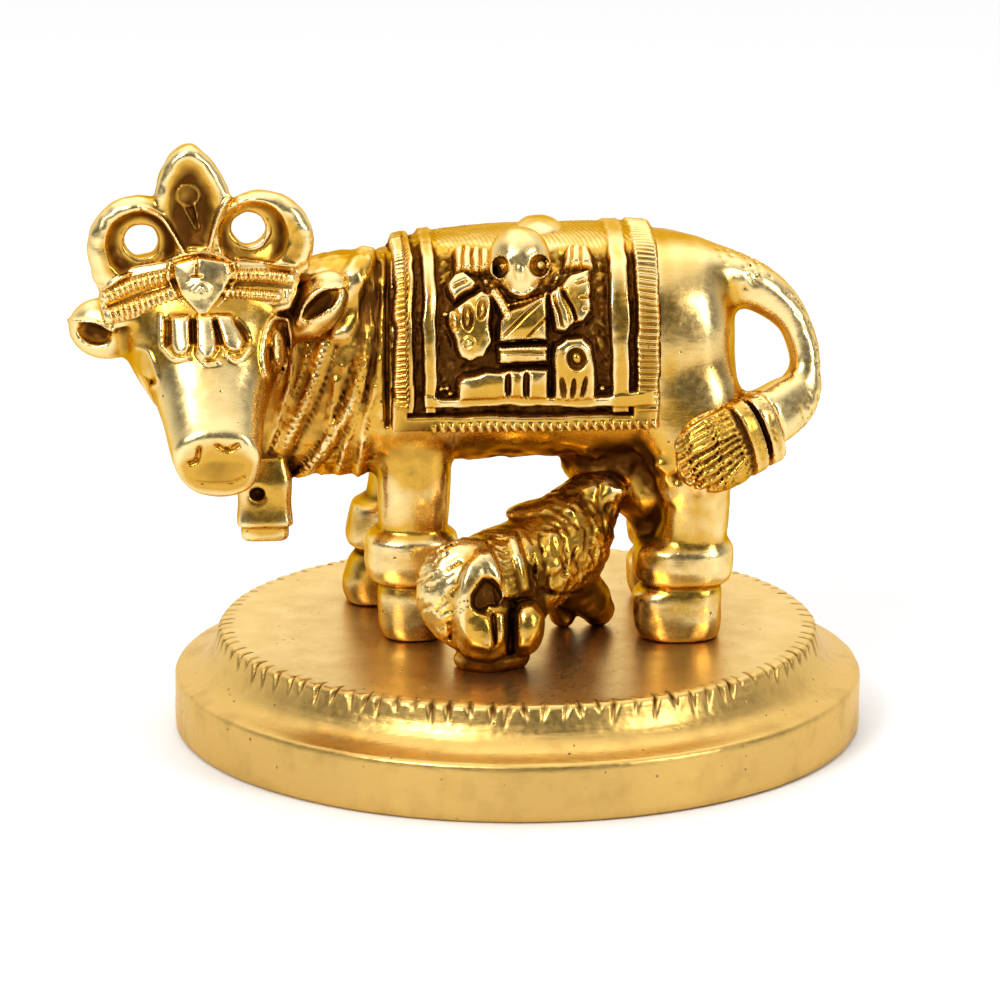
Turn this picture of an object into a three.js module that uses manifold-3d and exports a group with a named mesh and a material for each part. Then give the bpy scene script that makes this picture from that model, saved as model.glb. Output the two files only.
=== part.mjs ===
// Kamdhenu, a cow with her suckling calf, cast in brass on a round turned base.
// Millimetres, +Z up. The origin is the centre of the base's underside. The cow's head is
// towards -X, her tail towards +X, and her decorated left side looks along -Y.
import * as THREE from 'three';
import { mergeVertices } from 'three/addons/utils/BufferGeometryUtils.js';
import Module from 'manifold-3d';

// Turned base
const baseDiameter = 76;
const baseHeight = 11.2;
const rimHeight = 6.4;
const rimRound = 0.6;
const stepDiameter = 66.4;
const coveWidth = 2;
const topEdgeRound = 1;

// Filed notches around the top edge of the base
const notchCount = 84;
const notchWidth = 0.55;
const notchDepth = 0.9;
const notchLength = 2.2;

// Seat of the casting on the base: pegs under the feet, with a hairline gap below them
const pegHeight = 0.5;
const pegRadius = 1.7;
const seatGap = 0.3;

// The figure is drawn on a grid where it is 54.6 units tall from its soles to the tip of the
// head ornament. Its X and Y are measured from the centre of the base.
const figureHeight = 54.6;
const unit = figureHeight / 54.6;

const wasm = await Module();
wasm.setup();

const brass = { color: 0xc9992e, metalness: 1 };
const castBrass = new THREE.MeshStandardMaterial({ ...brass, roughness: 0.28 });
const filedBrass = new THREE.MeshStandardMaterial({ ...brass, roughness: 0.42 });

// Turns a closed three.js geometry into a solid
function toSolid(geometry) {
  const loose = geometry.index ? geometry.toNonIndexed() : geometry.clone();
  loose.deleteAttribute('normal');
  loose.deleteAttribute('uv');
  const merged = mergeVertices(loose, 1e-4);
  const index = merged.index.array;
  const triangles = [];
  for (let i = 0; i < index.length; i += 3) {
    const [a, b, c] = [index[i], index[i + 1], index[i + 2]];
    if (a !== b && b !== c && c !== a) triangles.push(a, b, c);
  }
  return new wasm.Manifold(new wasm.Mesh({
    numProp: 3,
    vertProperties: new Float32Array(merged.attributes.position.array),
    triVerts: new Uint32Array(triangles),
  }));
}

function toGeometry(solid) {
  const mesh = solid.getMesh();
  const positions = new Float32Array((mesh.vertProperties.length / mesh.numProp) * 3);
  for (let i = 0, j = 0; i < mesh.vertProperties.length; i += mesh.numProp, j += 3) {
    positions.set(mesh.vertProperties.slice(i, i + 3), j);
  }
  const geometry = new THREE.BufferGeometry();
  geometry.setAttribute('position', new THREE.BufferAttribute(positions, 3));
  geometry.setIndex(new THREE.BufferAttribute(new Uint32Array(mesh.triVerts), 1));
  geometry.computeVertexNormals();
  return geometry;
}

function union(solids) {
  return solids.reduce((joined, solid) => joined.add(solid));
}

function vec(x, y, z) {
  return new THREE.Vector3(x, y, z);
}

// Skins equal-length rings of points. The ends are closed with fans, or else, in a loop, the
// last ring is joined to the first.
function loft(rings, { loop = false } = {}) {
  const count = rings[0].length;
  const points = rings.flat();
  const faces = [];
  for (let r = 0; r + 1 < rings.length + (loop ? 1 : 0); r++) {
    const [near, far] = [r * count, ((r + 1) % rings.length) * count];
    for (let i = 0; i < count; i++) {
      const next = (i + 1) % count;
      faces.push(near + i, near + next, far + next, near + i, far + next, far + i);
    }
  }
  const ends = loop ? [] : [[rings[0], 0], [rings.at(-1), (rings.length - 1) * count]];
  for (const [ring, start] of ends) {
    const centre = ring.reduce((sum, p) => sum.add(p), vec(0, 0, 0)).divideScalar(count);
    const hub = points.push(centre) - 1;
    for (let i = 0; i < count; i++) {
      const [a, b] = [start + i, start + ((i + 1) % count)];
      faces.push(hub, ...(start === 0 ? [b, a] : [a, b]));
    }
  }
  let volume = 0;
  for (let i = 0; i < faces.length; i += 3) {
    const [a, b, c] = [points[faces[i]], points[faces[i + 1]], points[faces[i + 2]]];
    volume += a.dot(vec(0, 0, 0).crossVectors(b, c));
  }
  if (volume < 0) faces.reverse();
  const geometry = new THREE.BufferGeometry();
  geometry.setAttribute('position', new THREE.Float32BufferAttribute(
    points.flatMap((p) => [p.x, p.y, p.z]), 3));
  geometry.setIndex(faces);
  return toSolid(geometry);
}

// A rounded-rectangle ring: power 2 is an ellipse, more is squarer. With teeth, every other
// point stands out by toothHeight, which ribs the skin.
function ring({ at, across, up, halfAcross, halfUp, power = 2.4, count = 20, toothHeight = 0 }) {
  const points = [];
  for (let i = 0; i < count; i++) {
    const turn = (i / count) * Math.PI * 2;
    const c = Math.cos(turn);
    const s = Math.sin(turn);
    const reach = (Math.abs(c) ** power + Math.abs(s) ** power) ** (-1 / power);
    const tooth = toothHeight * (i % 2);
    points.push(at.clone()
      .addScaledVector(across, (halfAcross * reach + tooth) * c)
      .addScaledVector(up, (halfUp * reach + tooth) * s));
  }
  return points;
}

function box(x0, x1, y0, y1, z0, z1) {
  const geometry = new THREE.BoxGeometry(x1 - x0, y1 - y0, z1 - z0);
  return toSolid(geometry.translate((x0 + x1) / 2, (y0 + y1) / 2, (z0 + z1) / 2));
}

// An ellipsoid, turned about X (pitch) and then about Y (lean), in degrees
function egg(x, y, z, rx, ry, rz, { lean = 0, pitch = 0, sides = 8 } = {}) {
  const geometry = new THREE.SphereGeometry(1, sides, Math.max(4, Math.round(sides * 0.6)));
  geometry.scale(rx, ry, rz);
  geometry.rotateX(THREE.MathUtils.degToRad(pitch));
  geometry.rotateY(THREE.MathUtils.degToRad(lean));
  return toSolid(geometry.translate(x, y, z));
}

// A bar with round ends between two points
function bar(from, to, radius, sides = 6) {
  const length = from.distanceTo(to);
  const geometry = new THREE.CapsuleGeometry(radius, length, 2, sides);
  const turn = new THREE.Quaternion().setFromUnitVectors(
    vec(0, 1, 0), to.clone().sub(from).normalize());
  geometry.applyQuaternion(turn);
  const middle = from.clone().add(to).divideScalar(2);
  return toSolid(geometry.translate(middle.x, middle.y, middle.z));
}

// An outline drawn in X and Z, pushed through from y = near to y = far
function plate(outline, near, far) {
  const shape = new THREE.Shape(outline.map(([x, z]) => new THREE.Vector2(x, z)));
  const geometry = new THREE.ExtrudeGeometry(shape, { depth: far - near, bevelEnabled: false });
  geometry.rotateX(Math.PI / 2);
  return toSolid(geometry.translate(0, far, 0));
}

// A straight bar along X with upright ribs on its face towards -Y, centred on that face
function ribbedBar(length, height, depth, rise, pitch) {
  const steps = 2 * Math.round(length / pitch);
  const outline = [new THREE.Vector2(length / 2, depth), new THREE.Vector2(-length / 2, depth)];
  for (let k = 0; k <= steps; k++) {
    outline.push(new THREE.Vector2(length * (k / steps - 0.5), k % 2 ? -rise : rise));
  }
  const geometry = new THREE.ExtrudeGeometry(
    new THREE.Shape(outline), { depth: height, bevelEnabled: false });
  return geometry.translate(0, 0, -height / 2);
}

// Cow's neck and barrel, from the back of the head to the rump: stations along X,
// each [x, middle y, top, bottom, half width]
const flankMiddle = 0.8;
const body = [
  [-37, -2, 37, 29, 4],
  [-34, -2, 39.5, 25, 5.6],
  [-30.5, -1.6, 40, 20, 6],
  [-24, -0.4, 38.8, 16.8, 7.5],
  [-19, 0.4, 39, 16.5, 9.4],
  [-15, flankMiddle, 40.7, 16.8, 10.9],
  [-11, flankMiddle, 41.9, 17.9, 11.5],
  [0, flankMiddle, 42.8, 18.4, 11.9],
  [11, flankMiddle, 42.9, 18.2, 11.8],
  [16, flankMiddle, 42.6, 17.4, 11.4],
  [20, flankMiddle, 41.6, 17, 10.4],
  [22.2, flankMiddle, 39.6, 19.5, 8.8],
  [23.4, flankMiddle, 37, 23, 6.6],
];

function blend(a, b, share) {
  return a.map((value, k) => THREE.MathUtils.lerp(value, b[k], share));
}

// The body's outline at x, standing out by lift
function bodyRing(x, lift = 0, more = {}) {
  const after = Math.max(1, body.findIndex((station) => station[0] >= x));
  const [a, b] = [body[after - 1], body[after]];
  const [, y, top, bottom, half] = blend(a, b, (x - a[0]) / (b[0] - a[0]));
  return ring({
    at: vec(x, y, (top + bottom) / 2),
    across: vec(0, 1, 0),
    up: vec(0, 0, 1),
    halfAcross: half + lift,
    halfUp: (top - bottom) / 2 + lift,
    power: 2.6,
    count: 16,
    ...more,
  });
}

// A sleeve around the body from x0 to x1, standing out by lift
function bodySleeve(x0, x1, lift, more = {}) {
  const inner = body.map((station) => station[0]).filter((x) => x > x0 && x < x1);
  return loft([x0, ...inner, x1].map((x) => bodyRing(x, lift, more)));
}

function makeBody() {
  return loft(body.map((station) => bodyRing(station[0])));
}

// Saddle cloth: smooth and ribbed bands over the back, joined by borders along the lower edge.
// Bands are given by where they start and end along X.
const clothHem = 23.5;
const bandLift = 1.2;
const ribbedBands = [[-14, -12.2], [12.1, 14.4]];
const smoothBands = [[-10.7, -9], [9.3, 11]];
const ribsAround = 22;
const borderBottom = 26.3;
const borderTop = 27.4;
const ribHeight = 0.22;
const ribPitch = 1.9;
const hemHalfWidth = 12.1;
const hemDepth = 1.8;
const hemHeight = 1.7;

// The ribbed bar along the hem, as long as the cloth: heading 0 faces the near side
function hemBar(heading, y) {
  const [start, end] = [ribbedBands[0][0], ribbedBands[1][1]];
  const bar = ribbedBar(end - start, hemHeight, hemDepth, ribHeight, ribPitch);
  bar.rotateZ(heading);
  return toSolid(bar.translate((start + end) / 2, y, clothHem + hemHeight / 2));
}

// Bands and collars are cut from sleeves by blocks of this size, which reach past the figure
const cutterReach = 60;

function makeCloth() {
  const between = (bottom, top = cutterReach) => (
    box(-cutterReach, cutterReach, -cutterReach, cutterReach, bottom, top));
  const ribs = { count: 2 * ribsAround, toothHeight: 2 * ribHeight };
  const ribbed = ribbedBands.map(([x0, x1]) => (
    bodySleeve(x0, x1, bandLift - ribHeight, ribs).intersect(between(clothHem))));
  const smooth = smoothBands.map(([x0, x1]) => (
    bodySleeve(x0, x1, bandLift).intersect(between(borderBottom))));
  const border = bodySleeve(smoothBands[0][0], smoothBands[1][1], bandLift + 0.1)
    .intersect(between(borderBottom, borderTop));
  const hump = egg(2.8, 1, 42.9, 3.6, 5, 2);
  return union([...ribbed, ...smooth, border, hump,
    hemBar(0, flankMiddle - hemHalfWidth), hemBar(Math.PI, flankMiddle + hemHalfWidth)]);
}

// The raised figure on the cloth: flat stamps that follow the curve of the cow's side
const reliefLift = 1.25;

function slot(x0, x1, z0, z1) {
  return [[x0, z0], [x0, z1], [x1, z1], [x1, z0]];
}

function slantedSlot(x0, z0, x1, z1, width) {
  const along = new THREE.Vector2(x1 - x0, z1 - z0).normalize();
  const [dx, dz] = [-along.y * width / 2, along.x * width / 2];
  return [[x0 + dx, z0 + dz], [x0 - dx, z0 - dz], [x1 - dx, z1 - dz], [x1 + dx, z1 + dz]];
}

function circle(x, z, radius, sides = 12) {
  return Array.from({ length: sides }, (_, i) => {
    const turn = (i / sides) * Math.PI * 2;
    return [x + radius * Math.cos(turn), z + radius * Math.sin(turn)];
  });
}

function makeRelief() {
  const stamp = (outline, cuts = []) => cuts.reduce(
    (solid, cut) => solid.subtract(plate(cut, -17, -5)), plate(outline, -16, -6));
  const stamps = [
    // torso
    stamp([[-2.9, 33.5], [2.4, 33.4], [2.4, 36.6], [-1.7, 36], [-2.9, 37]]),
    // sashes
    stamp([[-4.1, 38.2], [-3.3, 38.8], [-1.3, 36.2], [-2, 35.4]]),
    stamp([[2.2, 38.6], [2.4, 37.5], [-1.2, 35.8], [-1.5, 36.8]]),
    // belt
    stamp(slot(-3.2, 2.4, 31.7, 33)),
    // skirt with two pleats
    stamp([[-7.2, 27.3], [2.4, 27.2], [2.4, 30.7], [-3.2, 30.7], [-4.6, 30.1], [-7.2, 29.7]],
      [slot(-2.6, -1.8, 27.6, 30.3), slot(-0.7, 0.1, 27.6, 30.3)]),
    // arched panel with a round boss and leaf cuts
    stamp([[2.9, 27.2], [7.5, 27.2], [7.5, 32], [6.8, 33.5], [5.2, 34], [3.6, 33.6], [2.9, 32.4]],
      [circle(5.3, 31.6, 1.2, 8), slot(4, 4.6, 27.6, 29.3), slot(5.6, 6.2, 27.6, 29.3)]),
    stamp(circle(5.3, 31.6, 0.6, 6)),
    // arms and their cuffs
    stamp([[2.6, 37.9], [4.7, 39.2], [6, 35.8], [3.3, 34.3]],
      [slantedSlot(3.4, 37.6, 4.1, 35.5, 0.5), slantedSlot(4.5, 38, 5.1, 36.2, 0.5)]),
    stamp([[4.9, 39.6], [7, 40.1], [7.3, 37.4], [6.2, 35.6]]),
    stamp([[-8.3, 36.5], [-4.9, 38], [-3.9, 36.7], [-3.9, 34.6], [-5.1, 31.8], [-6.8, 31.8],
      [-7.5, 33.1]], [slantedSlot(-7, 35.9, -6.6, 34.2, 0.6), slantedSlot(-5.4, 36.4, -5, 34.7, 0.6)]),
    // leaves and plumes above the arms
    stamp([[-8.4, 37.6], [-7.6, 39.6], [-5.2, 38.7]]),
    stamp([[-7.7, 40.3], [-7.4, 42.6], [-5.9, 43.8], [-4.1, 42.3], [-4.3, 40.2], [-5.9, 40.4]]),
    stamp([[3.4, 40.3], [4, 42.4], [6.8, 42.6], [7.2, 39.9], [5.2, 40.6]]),
  ];
  const curved = union(stamps).intersect(bodySleeve(-9, 9, reliefLift));
  const head = egg(-0.4, -8.9, 41, 3.1, 3.6, 3.9, { pitch: -20, sides: 10 });
  const eyes = [-2.3, 1.5].map((x) => egg(x, -12.4, 40.6, 0.8, 1.2, 1, { sides: 7 }));
  return curved.add(head.subtract(union(eyes)));
}

// A plain lotus on the cloth's other side
function makeLotus() {
  const [x, z] = [0, 33.5];
  const petals = Array.from({ length: 6 }, (_, i) => {
    const turn = (i / 6) * Math.PI * 2;
    const tip = [x + 5.2 * Math.cos(turn), z + 5.2 * Math.sin(turn)];
    const side = (offset, radius) => [
      x + radius * Math.cos(turn + offset), z + radius * Math.sin(turn + offset)];
    return plate([side(0, 1.9), side(0.28, 3.4), tip, side(-0.28, 3.4)].reverse(), 6, 18);
  });
  const boss = plate(circle(x, z, 1.5, 8), 6, 18);
  return union([...petals, boss]).intersect(bodySleeve(-9, 9, reliefLift));
}

// Legs: stations from the sole up, each [height, x, y, half length, half width]
function leg(stations, power = 3) {
  return loft(stations.map(([z, x, y, halfAcross, halfUp]) => ring({
    at: vec(x, y, z), across: vec(1, 0, 0), up: vec(0, 1, 0), halfAcross, halfUp, power, count: 8,
  })));
}

function frontLeg(x, y, stepForward) {
  return leg([
    [0, x - 0.2 - stepForward, y, 3.3, 3.7],
    [0.8, x - 0.3 - stepForward, y, 3.7, 3.9],
    [3.4, x - 0.3 - stepForward * 0.8, y, 3.9, 3.9],
    [5.4, x - stepForward * 0.5, y, 3.4, 3.6],
    [6.2, x - stepForward * 0.5, y, 4.6, 4.5],
    [8, x - stepForward * 0.4, y, 5.2, 5],
    [10.8, x - stepForward * 0.3, y, 5.1, 4.9],
    [12.4, x - stepForward * 0.1, y, 4, 4.1],
    [24, x, y + (flankMiddle - y) * 0.15, 4.2, 4.6],
  ]);
}

function hindLeg(x, y) {
  return leg([
    [0, x - 0.4, y, 4.4, 4.1],
    [0.8, x - 0.5, y, 4.8, 4.3],
    [3.6, x - 0.6, y, 4.9, 4.2],
    [5.2, x, y, 4.4, 3.9],
    [5.9, x, y, 5.2, 4.5],
    [7.6, x, y, 5.5, 4.8],
    [9.6, x, y, 5.3, 4.7],
    [10.6, x + 0.8, y, 4, 4.1],
    [13.5, x + 1.2, y, 3.8, 4.2],
    [19, x + 0.8, y, 4.9, 4.9],
    [26, x - 0.2, y + (flankMiddle - y) * 0.1, 6.4, 5],
    [33, x - 0.8, y + (flankMiddle - y) * 0.3, 5, 4],
  ]);
}

const feet = {
  frontNear: [-11.6, -5],
  frontFar: [-11.7, 9.6],
  hindNear: [17.6, -6.9],
  hindFar: [18.4, 8.6],
};
const farStep = 3.4;

function makeLegs() {
  return union([
    frontLeg(...feet.frontNear, 0),
    frontLeg(...feet.frontFar, farStep),
    hindLeg(...feet.hindNear),
    hindLeg(...feet.hindFar),
  ]);
}

function makeUdder() {
  return union([
    egg(9.8, 0, 17.4, 4.8, 6, 4.2),
    egg(11.6, -3.4, 15, 2.4, 2.2, 3, { lean: -20, sides: 6 }),
  ]);
}

// A collar: a slanted slice of the sleeve around the neck, given by two points on its middle
const collarLift = 0.7;

function collar([xTop, zTop], [xBottom, zBottom], width) {
  const lean = Math.atan2(xTop - xBottom, zTop - zBottom);
  const slab = new THREE.BoxGeometry(width, cutterReach, cutterReach);
  slab.rotateY(lean);
  slab.translate((xTop + xBottom) / 2, 0, (zTop + zBottom) / 2);
  return bodySleeve(-31, -15, collarLift).intersect(toSolid(slab));
}

// Collars, and the hanging folds of drapery in front of the saddle cloth
function makeCollars() {
  return union([
    bar(vec(-15.9, -8.2, 40.2), vec(-15.9, -10.2, 19), 1, 5),
    bar(vec(-17.8, -7.4, 39.4), vec(-17.7, -9.4, 18.6), 0.9, 5),
    collar([-21.3, 33], [-27.2, 18.6], 1.7),
    collar([-17.2, 30.6], [-22, 18.8], 1.5),
  ]);
}

// Bell under the throat: a flared block with a separate lip and a hole for its ring
function makeBell() {
  const square = ([z, half, y]) => ring({
    at: vec(-27.9, y, z), across: vec(1, 0, 0), up: vec(0, 1, 0),
    halfAcross: half, halfUp: half * 0.9, power: 4, count: 8,
  });
  const body = loft([[19.5, 2.4, -4.6], [17, 3, -5], [14.6, 2.9, -5.2], [12.4, 3.1, -5.4]].map(square));
  const lip = loft([[12.6, 2.3, -5.4], [12.1, 2.3, -5.4], [11.9, 2.6, -5.4], [11, 2.6, -5.4],
    [10.5, 2.1, -5.4]].map(square));
  const hole = egg(-28.9, -8, 16.2, 1, 1.4, 0.8, { sides: 6 });
  return body.subtract(hole).add(lip);
}

// Head: stations from the poll to the nose, each [x, y, z, half width, half depth, lean]
const headStations = [
  [-34.4, -0.5, 35, 6.4, 5, 10],
  [-34.4, -4, 36, 8.6, 6.6, 20],
  [-34.4, -7.5, 34.6, 9, 7, 30],
  [-34, -10.2, 32, 8.1, 6.3, 38],
  [-33.6, -12.6, 29.2, 6.6, 5.5, 38],
  [-33.4, -15.4, 26.2, 5.5, 4.8, 34],
  [-33.1, -18.8, 23, 4.7, 4, 20],
  [-33, -19.8, 22.2, 4.3, 3.7, 15],
];

function headRing([x, y, z, half, depth, lean]) {
  const tilt = THREE.MathUtils.degToRad(lean);
  return ring({
    at: vec(x, y, z), across: vec(1, 0, 0), up: vec(0, -Math.sin(tilt), Math.cos(tilt)),
    halfAcross: half, halfUp: depth, power: 2.3, count: 16,
  });
}

// Ribbed bars that run from the shield on the brow out to the ears, each given by its inner
// end, its outer end (x, z) and its height. They stand browReach in front of the base's centre,
// and are turned back by browHeading degrees towards the ears.
const browBars = [
  [[-37.3, 41.1], [-43.6, 39.3], 1.3],
  [[-37.3, 38.6], [-44, 36.4], 1.6],
  [[-31, 41.6], [-24.1, 40.8], 1.3],
  [[-31.6, 39.3], [-25.1, 37], 1.5],
];
const browReach = 12.6;
const browHeading = 17;
const browDepth = 3.4;
const browRibHeight = 0.25;
const browRibPitch = 1.4;

function browBar([[x0, z0], [x1, z1], height]) {
  const side = Math.sign(x1 - x0);
  const bar = ribbedBar(
    Math.hypot(x1 - x0, z1 - z0), height, browDepth, browRibHeight, browRibPitch);
  bar.rotateZ(side * THREE.MathUtils.degToRad(browHeading));
  bar.rotateY(-Math.atan2(side * (z1 - z0), side * (x1 - x0)));
  return toSolid(bar.translate((x0 + x1) / 2, -browReach, (z0 + z1) / 2));
}

function makeHead() {
  const skull = loft(headStations.map(headRing));
  const petals = [[-36.8, 34.6], [-33.8, 34], [-30.9, 34.2]].map(([x, z]) => bar(
    vec(x, -13.5, z + 2.8), vec(x, -15.5, z), 1.4, 7));
  const shield = plate([[-37.2, 41.3], [-36.1, 39.2], [-34.5, 37.4], [-33.1, 39.2], [-32.2, 41],
    [-34.7, 42.7]], -14.4, -9);
  const eyes = [-1, 1].map((side) => (
    egg(-34.2 + side * 7.5, -11.4, 33, 0.9, 1.9, 2.4, { pitch: 38, sides: 7 })));
  const nostrils = [
    plate([[-35.6, 23.2], [-34.9, 23.6], [-34.6, 25.1], [-35, 24.2]], -22, -20.2),
    plate([[-32.8, 25.2], [-31.8, 24.6], [-30.5, 25.2], [-31.8, 24.9]], -22, -20.2),
  ];
  const mouth = box(-35.4, -30.6, -23, -19, 20.2, 20.6);
  return skull
    .subtract(union([...nostrils, mouth]))
    .add(union([...browBars.map(browBar), shield, ...petals, ...eyes]));
}

function makeEars() {
  const left = egg(-44.7, -8, 34.8, 4.3, 2.3, 3, { lean: 4 })
    .subtract(egg(-45.6, -10.4, 34.7, 2.8, 1.4, 1.4, { lean: 12, sides: 7 }));
  const right = egg(-21.8, -8, 37.6, 2.9, 2.3, 4.6, { lean: 25 })
    .subtract(egg(-21.4, -10.4, 36.9, 1.1, 1.5, 2.9, { lean: 50, sides: 7 }));
  return left.add(right);
}

// Head ornament: a leaf between two pierced, dished rings
const crownNear = -11.8;
const crownFar = -8.6;
const ringRadius = 5.4;
const ringHole = 1.8;
const crownRings = [
  { centre: [-40.8, 43.8], hole: [-40.6, 44.4] },
  { centre: [-27.9, 44.2], hole: [-29.3, 45.6] },
];

// The rim is round in front, and the dish inside it narrows to the hole
function crownRing({ centre, hole }) {
  const at = ([x, z], y, radius) => circle(x, z, radius).map(([px, pz]) => vec(px, y, pz));
  const dish = blend(centre, hole, 0.5);
  return loft([
    at(centre, crownFar, ringRadius),
    at(centre, crownNear + 0.8, ringRadius),
    at(centre, crownNear, ringRadius - 0.9),
    at(dish, crownNear + 0.8, 3.6),
    at(hole, crownNear + 1.8, ringHole),
    at(hole, crownFar, ringHole),
  ], { loop: true });
}

function makeCrown() {
  const leaf = plate([[-37.6, 39], [-33, 39], [-32, 46], [-31.3, 49.6], [-32, 51.2], [-33.6, 53.2],
    [-34.9, 54.4], [-35.7, 54.6], [-36.6, 54.3], [-37.8, 52.8], [-38.8, 50.6], [-39.1, 48.8],
    [-37.3, 43.6]], crownNear, crownFar);
  const scoop = egg(-35.3, crownNear - 0.9, 48, 2.7, 1.9, 5);
  const drop = egg(-35.4, crownNear + 0.7, 48.4, 0.9, 0.6, 1.9, { lean: -8, sides: 6 });
  const foot = plate([[-44.8, 36.8], [-42, 38.2], [-38, 40.4], [-31, 40.6], [-26, 39.6],
    [-22.8, 41], [-23.2, 43], [-29, 42], [-40, 42], [-45.8, 41]], crownNear + 1, crownFar + 3);
  return union([leaf.subtract(scoop), drop, ...crownRings.map(crownRing), foot]);
}

// Tail: a loop from the rump, two rings, and a tuft laid on the near thigh.
// Stations along it: [x, y, z, half width in the loop's plane, half thickness]
const tailStations = [
  [17, 0.5, 37, 4, 4],
  [21.2, -0.5, 37.8, 3.3, 3.6],
  [25, -1.2, 36.9, 2.6, 3],
  [28.4, -2, 34.4, 2.3, 2.7],
  [30.7, -2.8, 31.4, 2.1, 2.6],
  [31.6, -3.6, 28, 2, 2.6],
  [31, -4.6, 25.5, 2.3, 2.6],
  [29.2, -6.2, 23.6, 3, 2.6],
  [26.8, -7.8, 22.8, 3.5, 2.6],
];
const tailRings = [[26.4, -8, 22.8], [24.5, -9.2, 22.2]];

// A flattened ring across the direction it travels in
function sweepRing([x, y, z, half, thick], along, more = {}) {
  const across = vec(0, 0, 0).crossVectors(vec(0, 1, 0), along).normalize();
  const up = vec(0, 0, 0).crossVectors(along, across).normalize();
  return ring({ at: vec(x, y, z), across, up, halfAcross: half, halfUp: thick, power: 2.3,
    count: 8, ...more });
}

// A bent bar through stations, each [x, y, z, half width, half thickness]
function sweep(stations, more = {}) {
  const place = (i) => vec(...stations[THREE.MathUtils.clamp(i, 0, stations.length - 1)].slice(0, 3));
  return loft(stations.map((station, i) => sweepRing(
    station, place(i + 1).sub(place(i - 1)).normalize(), more)));
}

function makeTail() {
  const along = vec(-1.8, -1.1, -0.65).normalize();
  const cuffs = tailRings.map(([x, y, z], i) => loft([
    [x - 0.3, y, z, 3.5, 2.4],
    [x - 0.5, y - 0.2, z - 0.2, 4 + i * 0.2, 2.8],
    [x - 1.8, y - 0.7, z - 0.6, 4 + i * 0.2, 2.7],
  ].map((station) => sweepRing(station, along))));
  const tuft = loft([
    [23.8, -9.3, 22, 2.8, 2, 0],
    [22.2, -10.2, 21.4, 4.5, 2.4, 0.35],
    [20, -11, 20.8, 4.6, 2.2, 0.35],
    [18, -11.2, 20.4, 3.8, 1.9, 0.35],
    [16.6, -11, 20.2, 2.4, 1.2, 0],
  ].map(([x, y, z, half, thick, toothHeight]) => sweepRing(
    [x, y, z, half, thick], along, { count: 16, toothHeight })));
  return union([sweep(tailStations), ...cuffs, tuft]);
}

// Calf: stations from its rump up to its muzzle at the udder, each [x, y, z, half width, half height]
const calfStations = [
  [-8.6, -20.4, 7, 2.6, 3.4],
  [-7.8, -19.4, 7, 4.2, 5.2],
  [-5.6, -17.4, 6.8, 5, 6.2],
  [-2.6, -14.6, 7.6, 5, 6],
  [0.4, -12, 8.6, 4.7, 5.4],
  [3.2, -9.4, 9.8, 4.5, 5.2],
  [5.6, -7.2, 11.6, 3.8, 4.6],
  [8, -5.6, 13.8, 2.7, 3.4],
  [10.2, -4.6, 15.6, 1.6, 2],
];

function calfRing([x, y, z, half, height], lift = 0, more = {}) {
  const along = vec(0.72, 0.66, 0.2).normalize();
  const across = vec(0, 0, 0).crossVectors(along, vec(0, 0, 1)).normalize();
  const up = vec(0, 0, 0).crossVectors(across, along).normalize();
  return ring({ at: vec(x, y, z), across, up, halfAcross: half + lift, halfUp: height + lift,
    power: 2.3, count: 10, ...more });
}

function calfBand(share0, share1, lift, more = {}) {
  const at = (share) => blend(calfStations[3], calfStations[5], share);
  return loft([share0, share1].map((share) => calfRing(at(share), lift, more)));
}

function makeCalf() {
  const curl = Array.from({ length: 8 }, (_, i) => {
    const turn = THREE.MathUtils.degToRad(70 + i * 29);
    return [-4.4 + 3.7 * Math.cos(turn), -21.6 - 0.17 * i, 7.2 + 4.2 * Math.sin(turn),
      i === 0 || i === 7 ? 0.7 : 1.35, 1.1];
  });
  return union([
    loft(calfStations.map((station) => calfRing(station))),
    sweep(curl, { count: 7 }),
    calfBand(0, 0.28, 0.55),
    calfBand(0.42, 0.7, 0.5),
    egg(-5.9, -21, 2.6, 1.8, 1.7, 2.2, { sides: 6 }),
    egg(-3.2, -21.2, 2.8, 1, 1.6, 2.1, { sides: 6 }),
    egg(-0.2, -19.6, 3, 1.7, 2.2, 2.9, { sides: 6 }),
    // plate on the shoulders and the top of the head
    egg(2.2, -9.4, 14.2, 4.4, 3.4, 1, { lean: -14 }),
    egg(7.6, -5.6, 16.6, 3.4, 2.2, 1.2, { lean: -10, sides: 6 }),
    // forelegs
    bar(vec(5.4, -8.2, 8.6), vec(8, -7, 2.2), 1.6, 5),
    bar(vec(3, -5.4, 7.6), vec(5.2, -4.2, 2.6), 1.4, 5),
  ]);
}

const calfSeats = [[-4, -19.4], [7.9, -7]];

// Casting: the figure scaled to its height, with pegs that reach down towards the base
function makeCasting() {
  const figure = toGeometry(union([
    makeBody(),
    makeCloth(),
    makeRelief(),
    makeLotus(),
    makeLegs(),
    makeUdder(),
    makeCollars(),
    makeBell(),
    makeHead(),
    makeEars(),
    makeCrown(),
    makeTail(),
    makeCalf(),
  ]));
  figure.scale(unit, unit, unit);
  const seats = [...Object.values(feet), ...calfSeats];
  const pegs = seats.map(([x, y]) => {
    const peg = new THREE.CylinderGeometry(pegRadius, pegRadius, 2 * pegHeight + unit, 6);
    peg.rotateX(Math.PI / 2);
    return toSolid(peg.translate(x * unit, y * unit, unit / 2));
  });
  return toGeometry(union([toSolid(figure), ...pegs]));
}

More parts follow.
